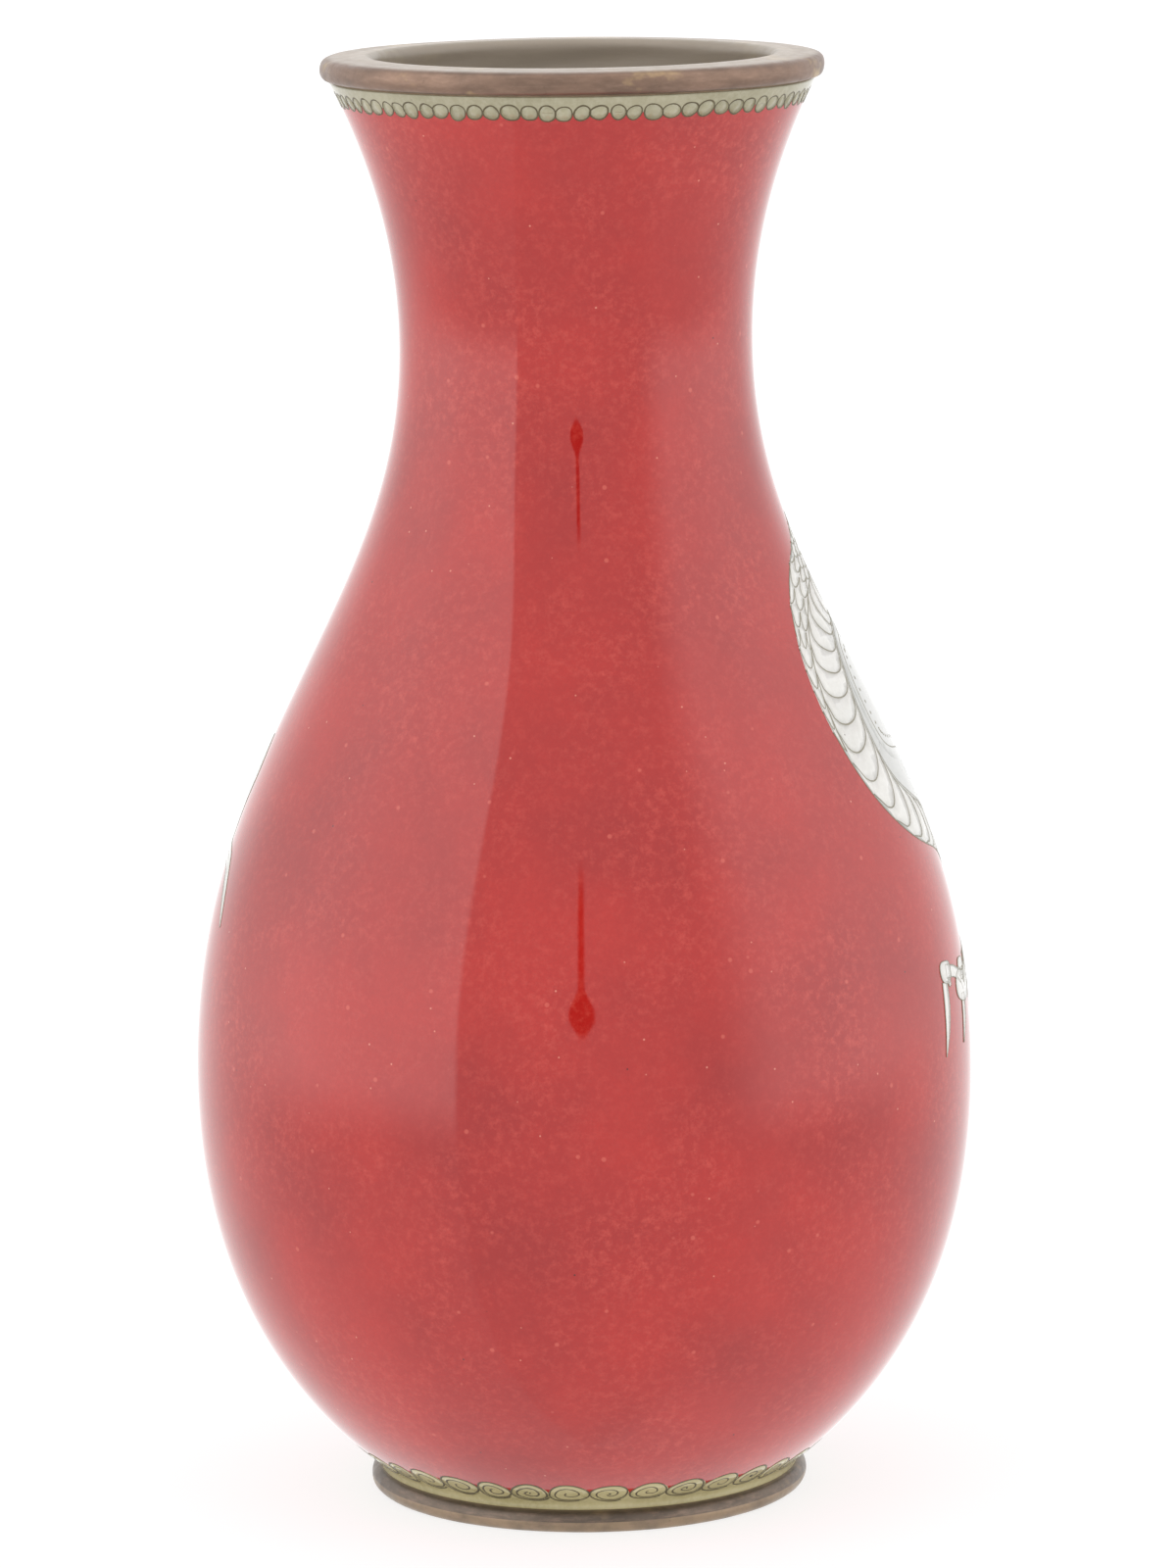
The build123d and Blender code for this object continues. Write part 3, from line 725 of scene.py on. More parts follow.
def rim_collar():
    """The metal mouth ring: wide lip, bulging outer edge, straight skirt into the neck."""
    low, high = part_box("rim_collar")
    outer = high.x / MM
    top = high.z / MM
    skirt = low.z / MM
    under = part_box("rim_solder")[1].z / MM
    mouth = outer - MOUTH_WALL
    outline = [
        (mouth + 0.12, top - 0.5), (mouth + 0.02, top - 2), (mouth, (top + skirt) / 2),
        (mouth + 0.02, skirt + 0.5), (mouth + 0.45, skirt + 0.02), (mouth + 0.88, skirt + 0.5),
        (mouth + 0.9, (under + skirt) / 2), (mouth + 0.95, under - 0.25), (mouth + 1.6, under + 0.03),
        (mouth + 3.2, under + 0.02), (outer - 1.2, under + 0.02), (outer - 0.45, under + 0.22),
        (outer - 0.03, under + 1.0), (outer - 0.02, under + 1.75), (outer - 0.35, top - 0.52),
        (outer - 1.0, top - 0.2), (mouth + 4.2, top - 0.1), (mouth + 2.4, top - 0.03),
        (mouth + 0.7, top - 0.04),
    ]
    return stand_in(outline_lathe("mouth_collar", outline, COLLAR_METAL, 0.035, 120), "rim_collar")


def foot_ring():
    """The half-round metal band that the vase stands on."""
    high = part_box("foot_ring")[1]
    outer = high.x / MM
    top = high.z / MM
    inner = outer - FOOT_WALL
    outline = [
        (inner + 0.05, 0.35), (inner + 0.5, 0.03), (outer - 2.4, 0.02), (outer - 0.85, 0.04),
        (outer - 0.3, 0.4), (outer - 0.03, 1.25), (outer - 0.22, 2.1), (outer - 0.75, top - 0.28),
        (outer - 1.8, top - 0.04), (outer - 3.2, top - 0.02), (inner + 0.5, top - 0.04),
        (inner + 0.03, top - 0.4), (inner, top / 2),
    ]
    return stand_in(outline_lathe("foot_band_ring", outline, FOOT_METAL, 0.03, 90), "foot_ring")


def dress_cad_nodes():
    """Materials for the CAD nodes that stay: hidden copper, lining, base and solder seams."""
    finishes = {
        "copper_body": HIDDEN_COPPER, "lining_enamel": LINING, "base_enamel": LINING,
        "foot_solder": SOLDER, "rim_solder": SOLDER,
    }
    for name, material in finishes.items():
        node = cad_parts[name]
        node.data.materials.clear()
        node.data.materials.append(material)


pieces = [build_ground()]
pieces += ring_border()
pieces += spiral_border()
pieces += [rim_collar(), foot_ring()]
dress_cad_nodes()

# ---------------------------------------------------------------- dragon design

# Body spine from the head, as (turn, z, width)
SPINE = [
    (176, 99, 12.5), (158, 108, 13.5), (138, 115.5, 14.5), (118, 119, 14.5), (100, 119.5, 14.2),
    (83.7, 116.3, 13.6), (73.5, 113.4, 13.1), (67.8, 108, 12.6), (66.4, 102.5, 12.3),
    (69, 95.6, 12), (74.7, 91.9, 12.4), (88.6, 88.9, 14), (103, 83.5, 16), (118, 73.5, 17.5),
    (134, 61.5, 18.5), (153, 51.5, 18.5), (175, 46, 18), (198, 44.5, 17), (220, 48, 15),
    (239, 55.5, 12.5), (252, 64.5, 9.5), (260, 75, 6.5), (264, 84, 4),
]
# Belly band: (share of the spine, left line, right line), -1 and 1 being the body's edges
BELLY = [
    (0, -1, -0.45), (0.17, -1, -0.4), (0.27, -0.69, 0.2), (0.305, -0.69, 0.38),
    (0.33, -0.62, 0.72), (0.355, -0.4, 0.97), (0.38, -0.1, 1), (0.414, 0.12, 1),
    (0.457, 0.3, 1), (1, 0.3, 1),
]
HEAD_AT = (190, 95)
HEAD = [
    (-9.5, -3.5), (-9, 3), (-4.5, 7.2), (0, 8), (3.2, 6), (7.5, 4.6), (11, 6.4), (14, 5.6),
    (14.6, 2.6), (11.5, 1), (7, 0.4), (3.6, -1.2), (0.5, -4.6), (-4, -6.8), (-8, -6.2),
]
HEAD_LINES = [
    [(-4.6, 5.8), (-1, 5.6), (2.6, 5.2), (5.4, 3.4)],
    [(-6.5, 3.5), (-3.6, 1.4), (-0.4, 1.2), (3, 1.6), (6.2, 2.2)],
    [(7.6, 3.9), (9.2, 2.6), (11.2, 2.3), (13.2, 3)],
    [(10.8, 5.4), (11.8, 4.4), (13, 4.8)],
    [(-8.6, -0.4), (-5.4, -0.8), (-3, -3), (-3.4, -5.8)],
    [(-6.6, -2.2), (-4.8, -3.4), (-5, -5.4)],
    [(-0.8, -1.2), (1.4, -0.4), (4.4, 0.2)],
]
JAW = [
    (-4, -6.2), (1.5, -4.2), (5, -3.6), (9, -3.4), (12.2, -1.6), (13.2, -3.6), (10.8, -6.4),
    (6.5, -8.2), (1, -8.6), (-3.5, -8),
]
JAW_LINES = [[(-2.6, -7.2), (2, -6.2), (6.4, -5.6), (10, -4.8)]]
TEETH = [(3.4, -1.1, -1), (5.2, -0.2, -1), (7.2, 0.4, -1), (9.6, 0.7, -1), (12.4, 1.5, -1.8),
         (4, -3.7, 1), (6.2, -3.4, 1), (8.2, -3.3, 1.1), (10.8, -2.4, 1.5)]
TONGUE = [(1, -2.8, 1.2), (6, -1.6, 1.7), (10.5, -1.1, 1.3), (14, 0.6, 0.3)]
HORNS = [
    [(-2.5, 7, 2.6), (-8, 11, 2.3), (-15, 13, 1.6), (-21, 11.5, 0.3)],
    [(-5, 6, 2.4), (-10.5, 8.3, 2), (-16.5, 8.6, 1.4), (-21, 6.5, 0.3)],
]
MANE = [
    [(-7, 4, 3), (-13, 4.8, 3.4), (-19, 2.4, 2.4), (-25, 3.5, 0.3)],
    [(-8, 1, 3.2), (-14, 0.6, 3.6), (-20, -3, 2.6), (-26, -2.6, 0.3)],
    [(-8.5, -2, 3.2), (-14, -4.2, 3.6), (-19, -8.4, 2.6), (-25, -8.8, 0.3)],
    [(-7.5, -5, 3), (-11, -9, 3.4), (-14.5, -13.5, 2.4), (-20, -15, 0.3)],
    [(-5, -7, 2.8), (-6.5, -12, 3.2), (-9, -17, 2.2), (-13.5, -20, 0.3)],
    [(0, -8, 2.4), (0.5, -12, 2.6), (-1.5, -16.5, 1.8), (-5, -20, 0.3)],
    [(4, -8, 2.2), (5.5, -12, 2.2), (5, -16, 1.5), (2.5, -19.5, 0.3)],
]
WHISKERS = [
    [(13.5, 2), (18.5, 1), (22.5, 5), (20.5, 10.5), (24, 15)],
    [(12, 6), (15, 11), (20, 13.5), (21, 19), (26, 23)],
]
# Each leg: hip, stations from the hip, where the paw sits, and the way its toes turn
LEGS = [
    ((103, 80), [(0, 0, 9), (-1.5, -6, 8), (-5, -10.5, 6.4), (-10, -12.8, 5), (-15.5, -13, 4.4)],
     (-19.4, -13.2), 0),
    ((145, 57), [(0, 0, 9), (6, 7, 8), (13, 9, 6), (19, 7.5, 4.8), (23, 8.5, 5)],
     (25.5, 9), 80),
    ((205, 46), [(0, 0, 10), (6, -5, 8.5), (5.5, -11, 6), (0, -14.5, 4.8), (-4, -17, 5)],
     (-5.5, -19), -30),
    ((236, 55), [(0, 0, 8), (3.5, 8, 7.5), (-0.5, 15, 5.5), (-5, 18.5, 4.5), (-7, 22, 4.8)],
     (-8.5, 24.5), -150),
]
PALM = [
    (-4.2, 0.6), (-4.6, -1.2), (-2.4, -2.6), (0.4, -3.1), (3.4, -2.6), (5, -0.6), (4.8, 1.4),
    (2, 0.7), (-1, 1.1),
]
KNUCKLE = [(-1.9, 1), (-1.8, -0.8), (-0.8, -1.4), (1.3, -1.3), (1.9, -0.5), (1.7, 0.9), (0.3, 1.3)]
# Each toe: its knuckle, the root of its claw, and the claw's reach
TOES = [((-8.3, 2.2), (-9.4, 1), (-2, -9.2)), ((0, 1.2), (-1.2, -1.9), (-2, -6)),
        ((8.3, 0.8), (9.4, -0.6), (1.6, -8.6))]
TAIL_AT = (266, 84)
TAIL = [
    [(0, -1, 3), (-3, 6, 3.4), (-2, 12, 2.4), (-5, 17, 0.3)],
    [(0, -1, 3), (1.5, 6, 3.2), (3.5, 10, 2.2), (2, 15, 0.3)],
    [(0, -1, 3), (5, -1, 2.6), (8.5, -1.6, 2.3), (10.8, -3.4, 2), (12.6, -5.6, 1.6), (14.8, -9.2, 0.25)],
]
FLAME = [(0, 0, 0.4), (3.5, 2.6, 2.6), (8, 1.4, 2.2), (11, 4, 1.2), (15, 5, 0.3)]
FLAMES = [((104, 98), 8), ((137, 84), -25), ((217, 68), 100), ((160, 30), 12), ((246, 92), 150)]
FINS = [(0.05, 0.2, 1), (0.47, 0.92, -1)]
FIN = [(-2.1, -0.6), (-0.4, 1.6), (2.6, 4.3), (1.9, 1.8), (2.4, -0.6), (0.2, -0.9)]
FIN_PITCH = 4.6
EYE_AT = (2.4, 3.5)
# A claw from root to tip: shares of its reach to the right and up, and its width
NAIL = [(0, 0, 1.8), (0.1, 0.3, 1.9), (0.45, 0.65, 1.3), (1, 1, 0.12)]
CREASES = [[(-3.6, 0.6), (-1.8, -0.3), (-0.4, -1.6)], [(4.4, 0.9), (2.6, 0.1), (1, -1.4)],
           [(-1.6, 1.5), (0.4, 0.9), (2.6, 1.2)]]
# Shares of the spine where the grey flank fills the loop, and where the left net stops and goes on
FLANK_SHARES = (0.2, 0.48)
NET_BREAK = (0.2, 0.43)
FLANK_EDGE = -0.75
FLANK_END = 95
BODY_ENDS = (2, 3)
NARROWEST_NET = 0.7


class Ribbon:
    """A band along a spine on the wall, measured in mm from its start."""

    def __init__(self, stations, samples=900):
        self.rows = smooth_curve(stations, samples)
        turn_step, z_step, _ = np.gradient(self.rows, axis=0).T
        ahead_x = np.radians(turn_step) * WALL.radius(self.rows[:, 1])
        ahead_y = z_step * np.hypot(1, WALL.slope(self.rows[:, 1]))
        steps = np.hypot(ahead_x, ahead_y)
        self.marks = np.concatenate([[0], np.cumsum(steps[1:])])
        self.ahead = np.stack([ahead_x, ahead_y], axis=1) / steps[:, None]
        self.length_mm = self.marks[-1]

    def share_mark(self, share):
        """Mm from the start at a share of the spine's own parameter."""
        return np.interp(share, np.linspace(0, 1, len(self.marks)), self.marks)

    def mark_share(self, along):
        return np.interp(along, self.marks, np.linspace(0, 1, len(self.marks)))

    def width(self, along):
        return np.interp(along, self.marks, self.rows[:, 2])

    def at(self, along, across, extra=0.0):
        """Places at mm along the spine and across it, from -1 left to 1 right, facing its end."""
        along = np.asarray(along, float)
        turn = np.interp(along, self.marks, self.rows[:, 0])
        z = np.interp(along, self.marks, self.rows[:, 1])
        ahead = [np.interp(along, self.marks, column) for column in self.ahead.T]
        reach = self.width(along) / 2 * across + extra
        z_there = WALL.height(WALL.length(z) - ahead[0] * reach)
        return np.stack([turn + np.degrees(ahead[1] * reach / WALL.radius(z_there)), z_there], axis=-1)

    def heading(self, along):
        """Angle of the way ahead from local right, in degrees."""
        ahead = [np.interp(along, self.marks, column) for column in self.ahead.T]
        return math.degrees(math.atan2(ahead[1], ahead[0]))


class DragonBody(Ribbon):
    """The dragon's body: a belly band between two flanks."""

    def belly(self, along):
        share = self.mark_share(along)
        table = np.array(BELLY).T
        return np.interp(share, table[0], table[1]), np.interp(share, table[0], table[2])

    def left_flank(self, along):
        return -1 + 0 * np.asarray(along), self.belly(along)[0]

    def right_flank(self, along):
        return self.belly(along)[1], 1 + 0 * np.asarray(along)

    def columns(self, lines, wide):
        """How many scales of a width fit between two lines, as a function of mm along."""
        def count(along):
            low, high = lines(along)
            space = (high - low) * self.width(along) / 2
            return 0 if space < NARROWEST_NET else max(1, round(float(space) / wide))
        return count


class Net:
    """Overlapping rounded scales between two lines of a ribbon, their ends facing its tail."""

    def __init__(self, ribbon, lines, pitch, arc, power=2.0, scallop=(0, 0)):
        self.ribbon = ribbon
        self.lines = lines
        self.pitch = pitch
        self.arc = arc
        self.power = power
        self.scallop = scallop

    def edge(self, row, columns, q):
        """How far along the ribbon a row's rounded ends reach, at shares q across the net."""
        cell = (q * columns + 0.5 * (row % 2)) % 1 if columns > 1 else q
        reach = np.maximum(1 - np.abs(2 * cell - 1) ** self.power, 0) ** (1 / self.power)
        return row * self.pitch + self.arc * reach

    def places(self, along, q):
        along = np.asarray(along, float)
        low, high = self.lines(along)
        across = low + np.asarray(q) * (high - low)
        phase = np.abs(np.sin(np.pi * (along / self.pitch + 0.5)))
        swell = self.scallop[1] * q**6 * phase - self.scallop[0] * (1 - np.asarray(q))**6 * phase
        return self.ribbon.at(along, across, swell)

    def lay(self, start, end, columns, cells, wires, tint=0.06, wire_width=0.24):
        """Adds the scales and their wires from start to end mm along the ribbon."""
        before = None
        for row in range(math.ceil(start / self.pitch), math.floor(end / self.pitch) + 1):
            count = columns(row * self.pitch)
            if count < 1:
                before = None
                continue
            before = count if before is None else before
            shift = 0.5 * (row % 2) if count > 1 else 0
            borders = [0.0] + [(k - shift) / count for k in range(1, count + 1)] + [1.0]
            borders = sorted({round(min(max(b, 0), 1), 6) for b in borders})
            for left, right in zip(borders, borders[1:]):
                if right - left < 0.2 / count:
                    continue
                q = np.linspace(left + 1e-4, right - 1e-4, 13)
                lower = self.places(self.edge(row, count, q), q)
                upper = self.places(self.edge(row - 1, before, q) + 0.02, q)
                cells.add(np.vstack([lower, upper[::-1]]), 0.5 + rng.uniform(-tint, tint) * 2)
                wires.add(lower, width=wire_width * rng.uniform(0.85, 1.1))
            before = count


def inner_flank(body, cells, wires, dots):
    """The grey flank that fills the front of the body's loop, with a row of small dots."""
    marks = np.linspace(*(body.share_mark(share) for share in FLANK_SHARES), 260)
    edge = body.at(marks, FLANK_EDGE)
    front = edge[edge[:, 0] < FLANK_END]
    share = np.linspace(0, 1, 14)[1:-1, None]
    close = front[-1] + (front[0] - front[-1]) * share + (4, 0) * np.sin(np.pi * share)
    cells.add(np.vstack([front, close]), 0.42)
    wires.add(np.vstack([front[-1:], close, front[:1]]), width=0.2)
    for mark in marks[::9]:
        spot = body.at(mark, -1, -1.6)
        if spot[0] < FLANK_END:
            dots.add(WALL.place(spot, disc(0.24, 10)))


def body_scales(body, skin, plates, wires):
    """Scales of both flanks and the plates of the belly, each in its wire."""
    stop = body.length_mm - BODY_ENDS[1]
    net = Net(body, body.left_flank, 2.35, 2.2, scallop=(0.25, 0))
    breaks = [body.share_mark(share) for share in NET_BREAK]
    for start, end in ((BODY_ENDS[0], breaks[0]), (breaks[1], stop)):
        net.lay(start, end, body.columns(body.left_flank, 2.5), skin, wires, wire_width=0.18)
    net = Net(body, body.right_flank, 2.2, 2.0, scallop=(0, 0.25))
    net.lay(BODY_ENDS[0], stop, body.columns(body.right_flank, 1.9), skin, wires, wire_width=0.18)
    net = Net(body, body.belly, 3.3, 3.3, power=2.3)
    net.lay(BODY_ENDS[0], stop, lambda along: 1, plates, wires, 0.03, 0.24)


def dragon_body(body):
    skin = Cells(0.046, spacing=1.8)
    plates = Cells(0.048, spacing=1.8)
    flank = Cells(0.034, spacing=1.4)
    bed = Cells(0.027, spacing=1.4)
    dots = Cells(0.044)
    wires = Wires(0.06, 0.2)
    marks = np.linspace(0, body.length_mm, 240)
    for low in range(0, 239, 12):
        part = marks[low:low + 14]
        bed.add(np.vstack([body.at(part, -1, -0.1), body.at(part[::-1], 1, 0.1)]), 0.3)
    body_scales(body, skin, plates, wires)
    left, right = body.belly(marks)
    wires.add(body.at(marks, left)[left > -0.95], width=0.22)
    wires.add(body.at(marks, left, -0.45)[left > -0.95], width=0.13)
    wires.add(body.at(marks, right)[right < 0.95], width=0.22)
    wires.add(body.at(marks, -1, -0.08), width=0.17)
    wires.add(body.at(marks, 1, 0.08), width=0.17)
    inner_flank(body, flank, wires, dots)
    return [
        skin.piece("dragon_scales", WHITE, "dragon_scale_enamel"),
        plates.piece("dragon_belly_plates", WHITE, "dragon_belly_enamel"),
        wires.piece("dragon_body_wirework", PALE_WIRE, "dragon_body_wires"),
        bed.piece("dragon_skin_bed", GREY, "dragon_scale_enamel"),
        flank.piece("dragon_inner_flank", GREY, "dragon_scale_enamel"),
        dots.piece("dragon_flank_dots", PALE_WIRE, "dragon_body_wires"),
    ]


def dragon_fins(body):
    cells = Cells(0.02, spacing=2.0)
    wires = Wires(0.034, 0.18)
    for first, last, edge in FINS:
        for along in np.arange(body.share_mark(first), body.share_mark(last), FIN_PITCH):
            size = rng.uniform(0.88, 1.1) * min(1.0, 0.45 + body.width(along) / 28)
            outline = smooth_curve(np.array(FIN) * size, 26, closed=True) * (1, -edge)
            places = WALL.place(body.at(along, edge), turned_local(outline, body.heading(along)))
            closed_cell(cells, wires, places, 0.5 + rng.uniform(-0.1, 0.1), 0.17)
    return [cells.piece("dragon_back_fins", GREY, "dragon_fin_enamel"),
            wires.piece("dragon_fin_wirework", PALE_WIRE, "dragon_fin_wires")]


def on_head(points):
    return WALL.place(HEAD_AT, points)


def dragon_face():
    wires = Wires(0.12, 0.24)
    face = Cells(0.11, spacing=1.6)
    jaw = Cells(0.095, spacing=1.6)
    tongue = Cells(0.102)
    eye = Cells(0.125)
    closed_cell(face, wires, on_head(smooth_curve(HEAD, 90, closed=True)))
    closed_cell(jaw, wires, on_head(smooth_curve(JAW, 60, closed=True)), 0.42)
    closed_cell(tongue, wires, on_head(stroke_outline(TONGUE)), 0.5, 0.2)
    place_lines(wires, HEAD_AT, HEAD_LINES + JAW_LINES)
    for right, up, size in TEETH:
        tooth = [(right - 0.45, up), (right + 0.15, up + 1.15 * size), (right + 0.5, up)]
        closed_cell(face, wires, on_head(tooth), 0.6, 0.16)
    spot = on_head([EYE_AT])[0]
    closed_cell(face, wires, WALL.place(spot, disc(1.5, 24)), 0.6)
    closed_cell(eye, wires, WALL.place(spot, disc(0.75, 18)))
    return [
        face.piece("dragon_face", WHITE, "dragon_head_enamel"),
        jaw.piece("dragon_lower_jaw", WHITE, "dragon_jaw_enamel"),
        tongue.piece("dragon_tongue", PINK, "dragon_tongue_enamel"),
        eye.piece("dragon_eye", DARK, "dragon_eye_enamel"),
        wires.piece("dragon_head_wirework", PALE_WIRE, "dragon_head_wires"),
    ]


def dragon_horns():
    """Two horns with short bars across them."""
    horns = Cells(0.09)
    wires = Wires(0.1, 0.22)
    for horn in HORNS:
        closed_cell(horns, wires, on_head(stroke_outline(horn, 30)))
        rows = smooth_curve(horn, 12)
        for k in range(1, 10):
            ahead = rows[k + 1, :2] - rows[k - 1, :2]
            side = np.array([-ahead[1], ahead[0]]) / np.linalg.norm(ahead) * rows[k, 2] / 2
            bar = [rows[k, :2] - side, rows[k, :2] + ahead * 0.12, rows[k, :2] + side]
            wires.add(on_head(bar), width=0.15)
    return [horns.piece("dragon_horns", GREY, "dragon_horn_enamel"),
            wires.piece("dragon_horn_wirework", PALE_WIRE, "dragon_horn_wires")]


def dragon_mane():
    """Flame-like locks behind the jaw with two strands in each, and the long whiskers."""
    mane = Cells(0.07)
    wires = Wires(0.082, 0.22)
    for index, lock in enumerate(MANE):
        closed_cell(mane, wires, on_head(stroke_outline(lock, 30)), rng.uniform(0.4, 0.6))
        rows = smooth_curve(lock, 22)
        ahead = np.gradient(rows[:, :2], axis=0)
        side = np.stack([-ahead[:, 1], ahead[:, 0]], axis=1)
        side /= np.linalg.norm(side, axis=1)[:, None]
        for offset in (-0.22, 0.22):
            strand = rows[:, :2] + side * rows[:, 2:3] * offset
            wires.add(on_head(strand[2:18 + index % 3]), width=0.14)
    whiskers = Wires(0.13, 0.34)
    for whisker in WHISKERS:
        whiskers.add(on_head(smooth_curve(whisker, 50)))
    return [
        mane.piece("dragon_mane", GREY, "dragon_mane_enamel"),
        wires.piece("dragon_mane_wirework", PALE_WIRE, "dragon_mane_wires"),
        whiskers.piece("dragon_whiskers", WIRE, "dragon_whisker_wires"),
    ]


def leg_ribbon(hip, stations):
    """The leg's spine as a ribbon of its own on the wall."""
    rows = smooth_curve(stations, 40)
    places = WALL.place(hip, rows[:, :2])
    return Ribbon(np.column_stack([places, rows[:, 2]]), 200)


def dragon_toe(paw, angle, toe, paws, claws, wires):
    """One toe: the link from the palm, the claw, the knuckle and its small joint."""
    def put(group, points, *look):
        closed_cell(group, wires, WALL.place(paw, turned_local(points, angle)), *look)

    knuckle, root, reach = toe
    link = [(0.15 * knuckle[0], 0.2, 1.7), (0.6 * knuckle[0], 0.75 * knuckle[1], 1.5), (*knuckle, 1.8)]
    put(claws, stroke_outline(link, 10), 0.45, 0.1)
    nail = [(root[0] + right * reach[0], root[1] + up * reach[1], width) for right, up, width in NAIL]
    put(claws, stroke_outline(nail, 22), rng.uniform(0.55, 0.7), 0.08)
    put(paws, smooth_curve(KNUCKLE, 30, closed=True) + knuckle, rng.uniform(0.4, 0.6), 0.1)
    joint = WALL.place(paw, turned_local([(knuckle[0] + 0.8, knuckle[1] - 1.6)], angle))[0]
    closed_cell(paws, wires, WALL.place(joint, disc(0.5, 12)), 0.5, 0.09)


def dragon_legs():
    skin = Cells(0.07, spacing=1.8)
    bed = Cells(0.06, spacing=1.6)
    paws = Cells(0.084, spacing=1.6)
    claws = Cells(0.076)
    wires = Wires(0.094, 0.18)
    for hip, stations, wrist, angle in LEGS:
        leg = leg_ribbon(hip, stations)
        ends = np.linspace(0, leg.length_mm, 30)
        closed_cell(bed, wires, np.vstack([leg.at(ends, -1), leg.at(ends[::-1], 1)]), 0.4, 0.18)
        net = Net(leg, lambda along: (-1 + 0 * along, 1 + 0 * along), 2.0, 1.9)
        across = lambda along: max(2, round(float(leg.width(along)) / 2.4))
        net.lay(1.5, leg.length_mm - 2, across, skin, wires, wire_width=0.16)
        paw = WALL.place(hip, [wrist])[0]
        for toe in TOES:
            dragon_toe(paw, angle, toe, paws, claws, wires)
        palm = turned_local(smooth_curve(PALM, 50, closed=True), angle)
        closed_cell(paws, wires, WALL.place(paw, palm), 0.5, 0.11)
        place_lines(wires, paw, CREASES, angle, 0.12, 8)
    return [
        bed.piece("dragon_leg_bed", GREY, "dragon_leg_enamel"),
        skin.piece("dragon_leg_scales", WHITE, "dragon_leg_enamel"),
        paws.piece("dragon_paws", WHITE, "dragon_paw_enamel"),
        claws.piece("dragon_claws", WHITE, "dragon_claw_enamel"),
        wires.piece("dragon_leg_wirework", PALE_WIRE, "dragon_leg_wires"),
    ]


def tail_and_flames():
    tail = Cells(0.04)
    tail_wires = Wires(0.05, 0.16)
    for lock in TAIL:
        places = WALL.place(TAIL_AT, stroke_outline(lock, 30))
        closed_cell(tail, tail_wires, places, rng.uniform(0.5, 0.6), 0.07)
        tail_wires.add(WALL.place(TAIL_AT, smooth_curve(lock, 20)[2:12, :2]), width=0.12)
    flames = Cells(0.02)
    flame_wires = Wires(0.045, 0.2)
    for origin, angle in FLAMES:
        shape = turned_local(stroke_outline(FLAME, 36), angle)
        closed_cell(flames, flame_wires, WALL.place(origin, shape))
    return [
        tail.piece("dragon_tail_tuft", WHITE, "dragon_tail_enamel"),
        tail_wires.piece("dragon_tail_wirework", PALE_WIRE, "dragon_tail_wires"),
        flames.piece("flames", PINK, "flame_enamel"),
        flame_wires.piece("flame_wirework", WIRE, "flame_wires"),
    ]


body_ribbon = DragonBody(SPINE)
pieces += dragon_body(body_ribbon) + dragon_fins(body_ribbon)
pieces += dragon_face() + dragon_horns() + dragon_mane()
pieces += dragon_legs() + tail_and_flames()
for piece in pieces:
    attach(piece, "root")


# ---------------------------------------------------------------- stage and light

FLOOR_SIZE = 24
FLOOR_STEPS = 60
FLOOR_GLOW = 0.74
# Reflected surround: azimuth and elevation steps in degrees from the camera's side, and
# glows against white = 1. A step runs from its first angle up to its second, or falls.
LEFT_PANEL = (-37, -39)
RIGHT_PANEL = (36, 62)
PANEL_END = (138, 84)
LEFT_GLOW = 1.2
RIGHT_GLOW = 1.0
GAP_GLOW = 1.25
TABLE_EDGE = (-14, -4)
TABLE_SHARE = 0.12
STAND_FOOT = (4, 6)
STAND_TOP = (34, 27)
STAND_EDGE = (0.5, -0.5)
STAND_REACH = 1.0
HEAD_FOOT = (4.5, 8)
HEAD_TOP = (13.5, 9)
HEAD_REACH = 2.9
WORLD_GLOW = 1.0
SEEN_GLOW = 1.05
CAMERA_AT = (0, -0.9463, 0.2519)
CAMERA_YAW = -0.054
CAMERA_PITCH = 9.65
CAMERA_ROLL = 0.68
CAMERA_LENS = 172.9
LIGHT_AIM = Vector((0, 0, 0.09))


def build_floor():
    """A large pale floor with a slight unevenness of tone."""
    steps = range(FLOOR_STEPS + 1)
    spread = [(i / FLOOR_STEPS - 0.5) * FLOOR_SIZE for i in steps]
    vertices = [(x, y, 0.0) for y in spread for x in spread]
    row = len(steps)
    starts = [j * row + i for j in steps[:-1] for i in steps[:-1]]
    faces = [(a, a + 1, a + row + 1, a + row) for a in starts]
    shader = Shader("pale_floor")
    colour = shader.mix(shader.noise(120, 2), (150, 150, 150), (156, 156, 156))
    shader.set(Base_Color=colour, Roughness=0.9, Specular_IOR_Level=0.1,
               Emission_Color=(1, 1, 1, 1), Emission_Strength=FLOOR_GLOW)
    ground = make_piece("studio_floor", vertices, faces, shader.material)
    ground.visible_glossy = False
    return ground


class Sky(Graph):
    """The world's tree: values worked out from the direction looked in."""

    def step(self, value, low, high):
        """0 below low, 1 above high, smooth between; swapped ends make it fall."""
        made = self.node("MapRange", value, min(low, high), max(low, high))
        made.interpolation_type = "SMOOTHSTEP"
        return made.outputs[0] if low < high else self.math("SUBTRACT", 1.0, made.outputs[0])

    def glow(self, strength):
        return self.node("Background", (1, 1, 1, 1), strength).outputs[0]

    def choose(self, amount, one, other):
        return self.node("MixShader", amount, one, other).outputs[0]

    def times(self, one, other):
        return self.math("MULTIPLY", one, other)


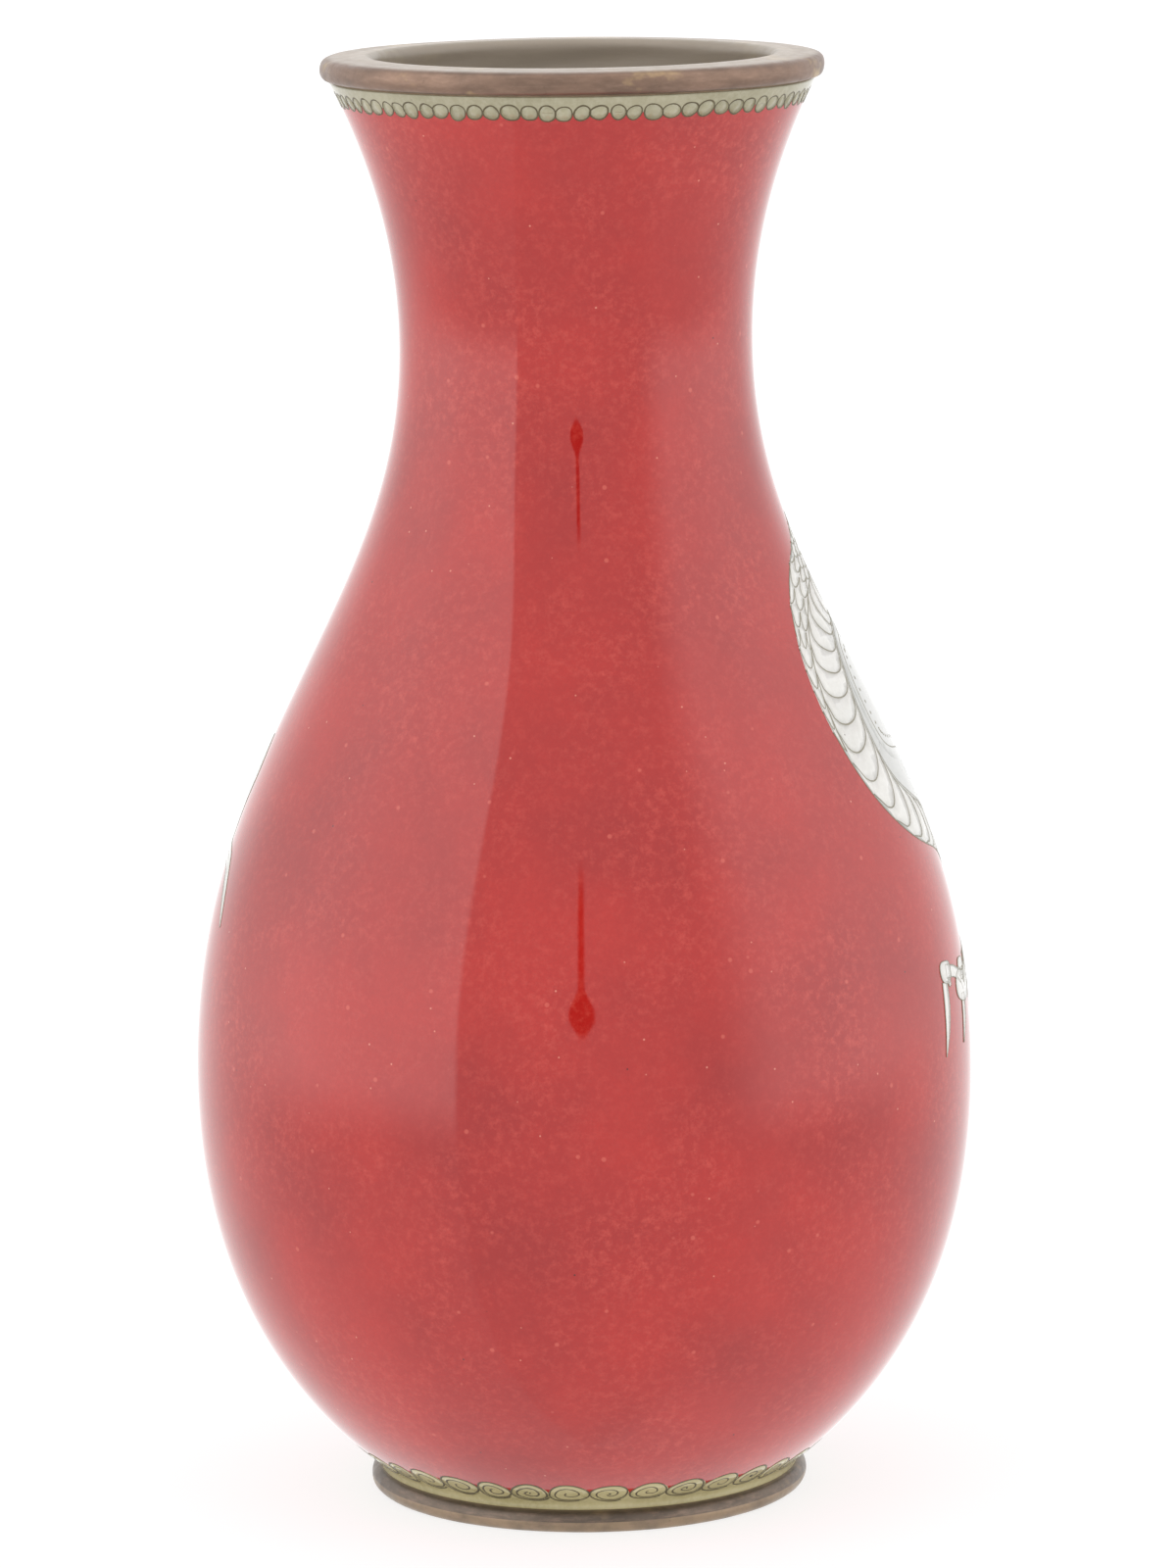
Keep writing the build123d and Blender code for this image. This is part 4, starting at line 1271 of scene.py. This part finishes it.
def panel_light(sky, azimuth, elevation):
    """Two pale panels at the sides that end behind and fade below the table's edge."""
    left = sky.times(sky.step(azimuth, *LEFT_PANEL), LEFT_GLOW)
    right = sky.times(sky.step(azimuth, *RIGHT_PANEL), RIGHT_GLOW)
    above = sky.times(sky.step(elevation, *TABLE_EDGE), 1 - TABLE_SHARE)
    lit = sky.times(sky.math("ADD", left, right), sky.math("ADD", above, TABLE_SHARE))
    return sky.times(lit, sky.step(sky.math("ABSOLUTE", azimuth), *PANEL_END))


def stand_shape(sky, azimuth, elevation):
    """A narrow upright with a wider head, straight in front of the vase."""
    head = sky.times(sky.step(elevation, *HEAD_FOOT), sky.step(elevation, *HEAD_TOP))
    width = sky.math("ADD", sky.times(head, HEAD_REACH), STAND_REACH)
    stand = sky.step(sky.math("SUBTRACT", sky.math("ABSOLUTE", azimuth), width), *STAND_EDGE)
    upright = sky.times(sky.step(elevation, *STAND_FOOT), sky.step(elevation, *STAND_TOP))
    return sky.times(stand, upright)


def build_world():
    """White surround; glossy surfaces see soft panels with a narrow dark stand between them."""
    world = bpy.data.worlds.new("studio")
    bpy.context.scene.world = world
    world.use_nodes = True
    sky = Sky(world.node_tree)
    sky.nodes.clear()
    x, y, z = sky.node("SeparateXYZ", sky.node("TexCoord").outputs["Generated"]).outputs
    azimuth = sky.times(sky.math("ARCTAN2", x, sky.times(y, -1)), 180 / math.pi)
    elevation = sky.times(sky.math("ARCSINE", z), 180 / math.pi)
    panels = panel_light(sky, azimuth, elevation)
    dark = sky.times(stand_shape(sky, azimuth, elevation), GAP_GLOW)
    glow = sky.math("SUBTRACT", sky.math("ADD", panels, GAP_GLOW), dark)
    ray = sky.node("LightPath").outputs
    lit = sky.choose(ray["Is Glossy Ray"], sky.glow(WORLD_GLOW), sky.glow(glow))
    sky.node("OutputWorld", sky.choose(ray["Is Camera Ray"], lit, sky.glow(SEEN_GLOW)))


def soft_light(name, place, size, power):
    """A large area light aimed at the middle of the vase."""
    light = bpy.data.lights.new(name, "AREA")
    light.shape = "RECTANGLE"
    light.size, light.size_y = size
    light.energy = power
    lamp = bpy.data.objects.new(name, light)
    bpy.context.scene.collection.objects.link(lamp)
    lamp.location = place
    lamp.rotation_euler = (LIGHT_AIM - Vector(place)).to_track_quat("-Z", "Y").to_euler()
    lamp.visible_glossy = False


def build_camera():
    """Long lens from the front, a little above the rim, rolled by a hair."""
    camera = bpy.data.cameras.new("camera")
    camera.lens = CAMERA_LENS
    camera.sensor_width = 36
    camera.clip_end = 100
    eye = bpy.data.objects.new("camera", camera)
    bpy.context.scene.collection.objects.link(eye)
    aim = Matrix.Translation(CAMERA_AT)
    for angle, axis in ((CAMERA_YAW, "Z"), (90 - CAMERA_PITCH, "X"), (-CAMERA_ROLL, "Z")):
        aim = aim @ Matrix.Rotation(math.radians(angle), 4, axis)
    eye.matrix_world = aim
    bpy.context.scene.camera = eye


floor = build_floor()
build_world()
soft_light("left_softbox", (-0.9, -0.7, 0.7), (0.8, 1.0), 2.0)
soft_light("right_softbox", (0.9, -0.6, 0.6), (0.8, 1.0), 1.4)
build_camera()
bpy.context.scene.view_settings.view_transform = "Standard"
